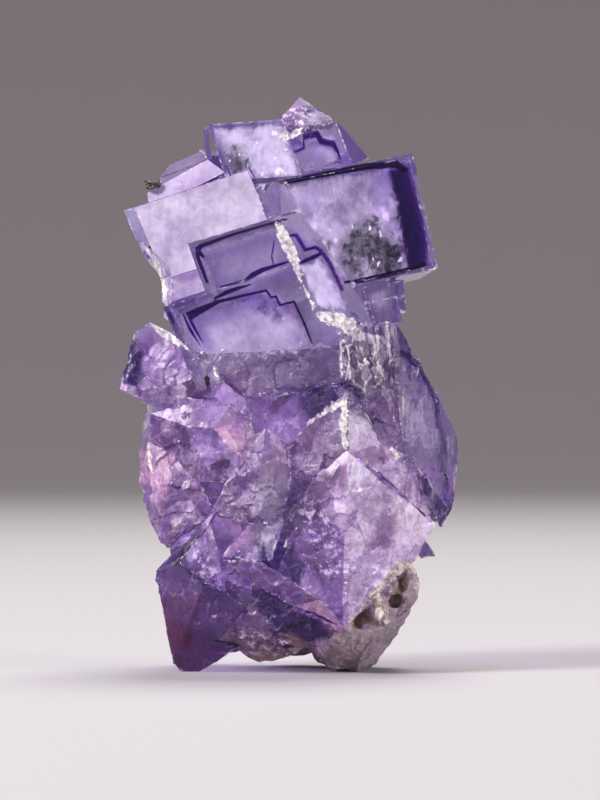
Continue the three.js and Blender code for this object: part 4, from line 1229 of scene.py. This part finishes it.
def paper_material():
    """Pale paper that turns a little darker far away."""
    f = Finish("Studio paper")
    place = f.place()
    far = f.node("ShaderNodeVectorMath", {"operation": "LENGTH"}, {0: place}).outputs["Value"]
    share = (Value(f, far) + (f.noise(place, 40.0, seed=31.0) - 0.5) * 0.01).between(0.35, 1.1)
    colour = f.blend(share, "a6a1a3", "888083")
    return f.done(f.principled(base_color=colour, roughness=0.9))


def studio_floor():
    """A floor that curves up into a round wall: a profile of radius and height turned about the upright axis,
    with a fan of triangles in the middle."""
    turn = np.linspace(0, math.pi / 2, CURVE_POINTS)
    radius = np.concatenate([[400, 700], FLOOR_REACH + CURVE * np.sin(turn), [FLOOR_REACH + CURVE]])
    height = np.concatenate([[0, 0], CURVE - CURVE * np.cos(turn), [WALL_TOP]])
    angle = np.linspace(0, 2 * math.pi, FLOOR_SIDES + 1)[:-1]
    level = np.repeat(height[:, None], len(angle), axis=1)
    rings = np.stack([np.outer(radius, np.cos(angle)), np.outer(radius, np.sin(angle)), level], axis=2)
    n, m = len(radius), len(angle)
    i, j = np.meshgrid(np.arange(n - 1), np.arange(m), indexing="ij")
    right = (j + 1) % m
    quads = np.stack([(i + 1) * m + j, (i + 1) * m + right, i * m + right, i * m + j], axis=2).reshape(-1, 4)
    points = np.vstack([rings.reshape(-1, 3), [[0, 0, 0]]])
    fan = [[n * m, k, (k + 1) % m] for k in range(m)]
    mesh = new_mesh("studio_floor", points, quads.tolist() + fan, paper_material())
    mesh.shade_smooth()
    linked("studio_floor", mesh)


def studio(spec):
    """The floor, three soft lights, pale air and the camera."""
    studio_floor()
    for name, where, size, power in LAMPS:
        data = bpy.data.lights.new(name, "AREA")
        data.shape = "DISK"
        data.size = size
        data.energy = power * spec.light_level
        lamp = linked(name, data)
        lamp.location = where
        lamp.rotation_euler = Vector(np.array(LAMP_AIM) - where).to_track_quat("-Z", "Y").to_euler()

    scene = bpy.context.scene
    scene.world = bpy.data.worlds.new("studio_air")
    scene.world.use_nodes = True
    air = scene.world.node_tree.nodes["Background"]
    air.inputs["Color"].default_value = rgb(AIR_COLOUR)
    air.inputs["Strength"].default_value = AIR_STRENGTH

    data = bpy.data.cameras.new("camera")
    data.sensor_fit = "VERTICAL"
    data.sensor_height = FILM_HEIGHT
    data.lens = LENS
    data.clip_start = 0.01
    camera = linked("camera", data)
    camera.location = CAMERA_PLACE
    camera.rotation_euler = (math.pi / 2, 0, 0)
    scene.camera = camera
    scene.view_settings.view_transform = "Standard"
    for name, count in BOUNCES.items():
        setattr(scene.cycles, name, count)


# ---------------------------------------------------------------- add-on
class FluoriteSettings(bpy.types.PropertyGroup):
    crystal_colour: bpy.props.FloatVectorProperty(
        name="Crystal colour", description="Colour that light keeps on its way through the crystal",
        subtype="COLOR", size=3, default=(0.62, 0.47, 0.75), min=0, max=1,
    )
    crystal_density: bpy.props.FloatProperty(
        name="Crystal density", description="How fast the crystal takes light up", default=36.0, min=0,
    )
    crystal_grain: bpy.props.FloatProperty(
        name="Crystal grain", description="Longest edge of the crystal's mesh", default=0.00038,
        unit="LENGTH", min=0.0002,
    )
    zone_colour: bpy.props.FloatVectorProperty(
        name="Zone colour", description="Colour that light keeps on its way through a dark growth zone",
        subtype="COLOR", size=3, default=(0.50, 0.03, 0.76), min=0, max=1,
    )
    zone_density: bpy.props.FloatProperty(
        name="Zone density", description="How fast a dark growth zone takes light up", default=5600.0, min=0,
    )
    band_share: bpy.props.FloatProperty(
        name="Band share", description="Density of the deep bands, as a share of the zone density",
        default=0.42, min=0, max=1, subtype="FACTOR",
    )
    crack_count: bpy.props.IntProperty(
        name="Cracks", description="Number of cleavage cracks inside the broken half", default=90, min=0,
    )
    light_level: bpy.props.FloatProperty(
        name="Light level", description="Strength of the studio lights", default=1.0, min=0,
    )


class FLUORITE_OT_crystal(bpy.types.Operator):
    """Makes the crystal group"""

    bl_idname = "fluorite.crystal"
    bl_label = "Crystal"

    def execute(self, context):
        crystal(context.scene.fluorite)
        return {"FINISHED"}


class FLUORITE_OT_zones(bpy.types.Operator):
    """Makes the dark growth zones inside the cubes"""

    bl_idname = "fluorite.zones"
    bl_label = "Growth zones"

    def execute(self, context):
        growth_zones(context.scene.fluorite)
        clouds()
        cracks(context.scene.fluorite)
        return {"FINISHED"}


class FLUORITE_OT_rock(bpy.types.Operator):
    """Finishes the rock and the dark grain"""

    bl_idname = "fluorite.rock"
    bl_label = "Rock and grain"

    def execute(self, context):
        rock()
        grain()
        return {"FINISHED"}


class FLUORITE_OT_studio(bpy.types.Operator):
    """Makes the floor, the lights and the camera"""

    bl_idname = "fluorite.studio"
    bl_label = "Studio"

    def execute(self, context):
        studio(context.scene.fluorite)
        return {"FINISHED"}


OPERATORS = (FLUORITE_OT_crystal, FLUORITE_OT_zones, FLUORITE_OT_rock, FLUORITE_OT_studio)


class FLUORITE_PT_panel(bpy.types.Panel):
    """Lists the pieces of the specimen"""

    bl_label = "Phantom fluorite"
    bl_space_type = "VIEW_3D"
    bl_region_type = "UI"
    bl_category = "Fluorite"

    def draw(self, context):
        for name in FluoriteSettings.__annotations__:
            self.layout.prop(context.scene.fluorite, name)
        for operator in OPERATORS:
            self.layout.operator(operator.bl_idname)


CLASSES = (FluoriteSettings, *OPERATORS, FLUORITE_PT_panel)


def register():
    for item in CLASSES:
        bpy.utils.register_class(item)
    bpy.types.Scene.fluorite = bpy.props.PointerProperty(type=FluoriteSettings)


def unregister():
    del bpy.types.Scene.fluorite
    for item in reversed(CLASSES):
        bpy.utils.unregister_class(item)


def main():
    register()
    for operator in OPERATORS:
        group, name = operator.bl_idname.split(".")
        getattr(getattr(bpy.ops, group), name)()


if __name__ == "__main__":
    main()
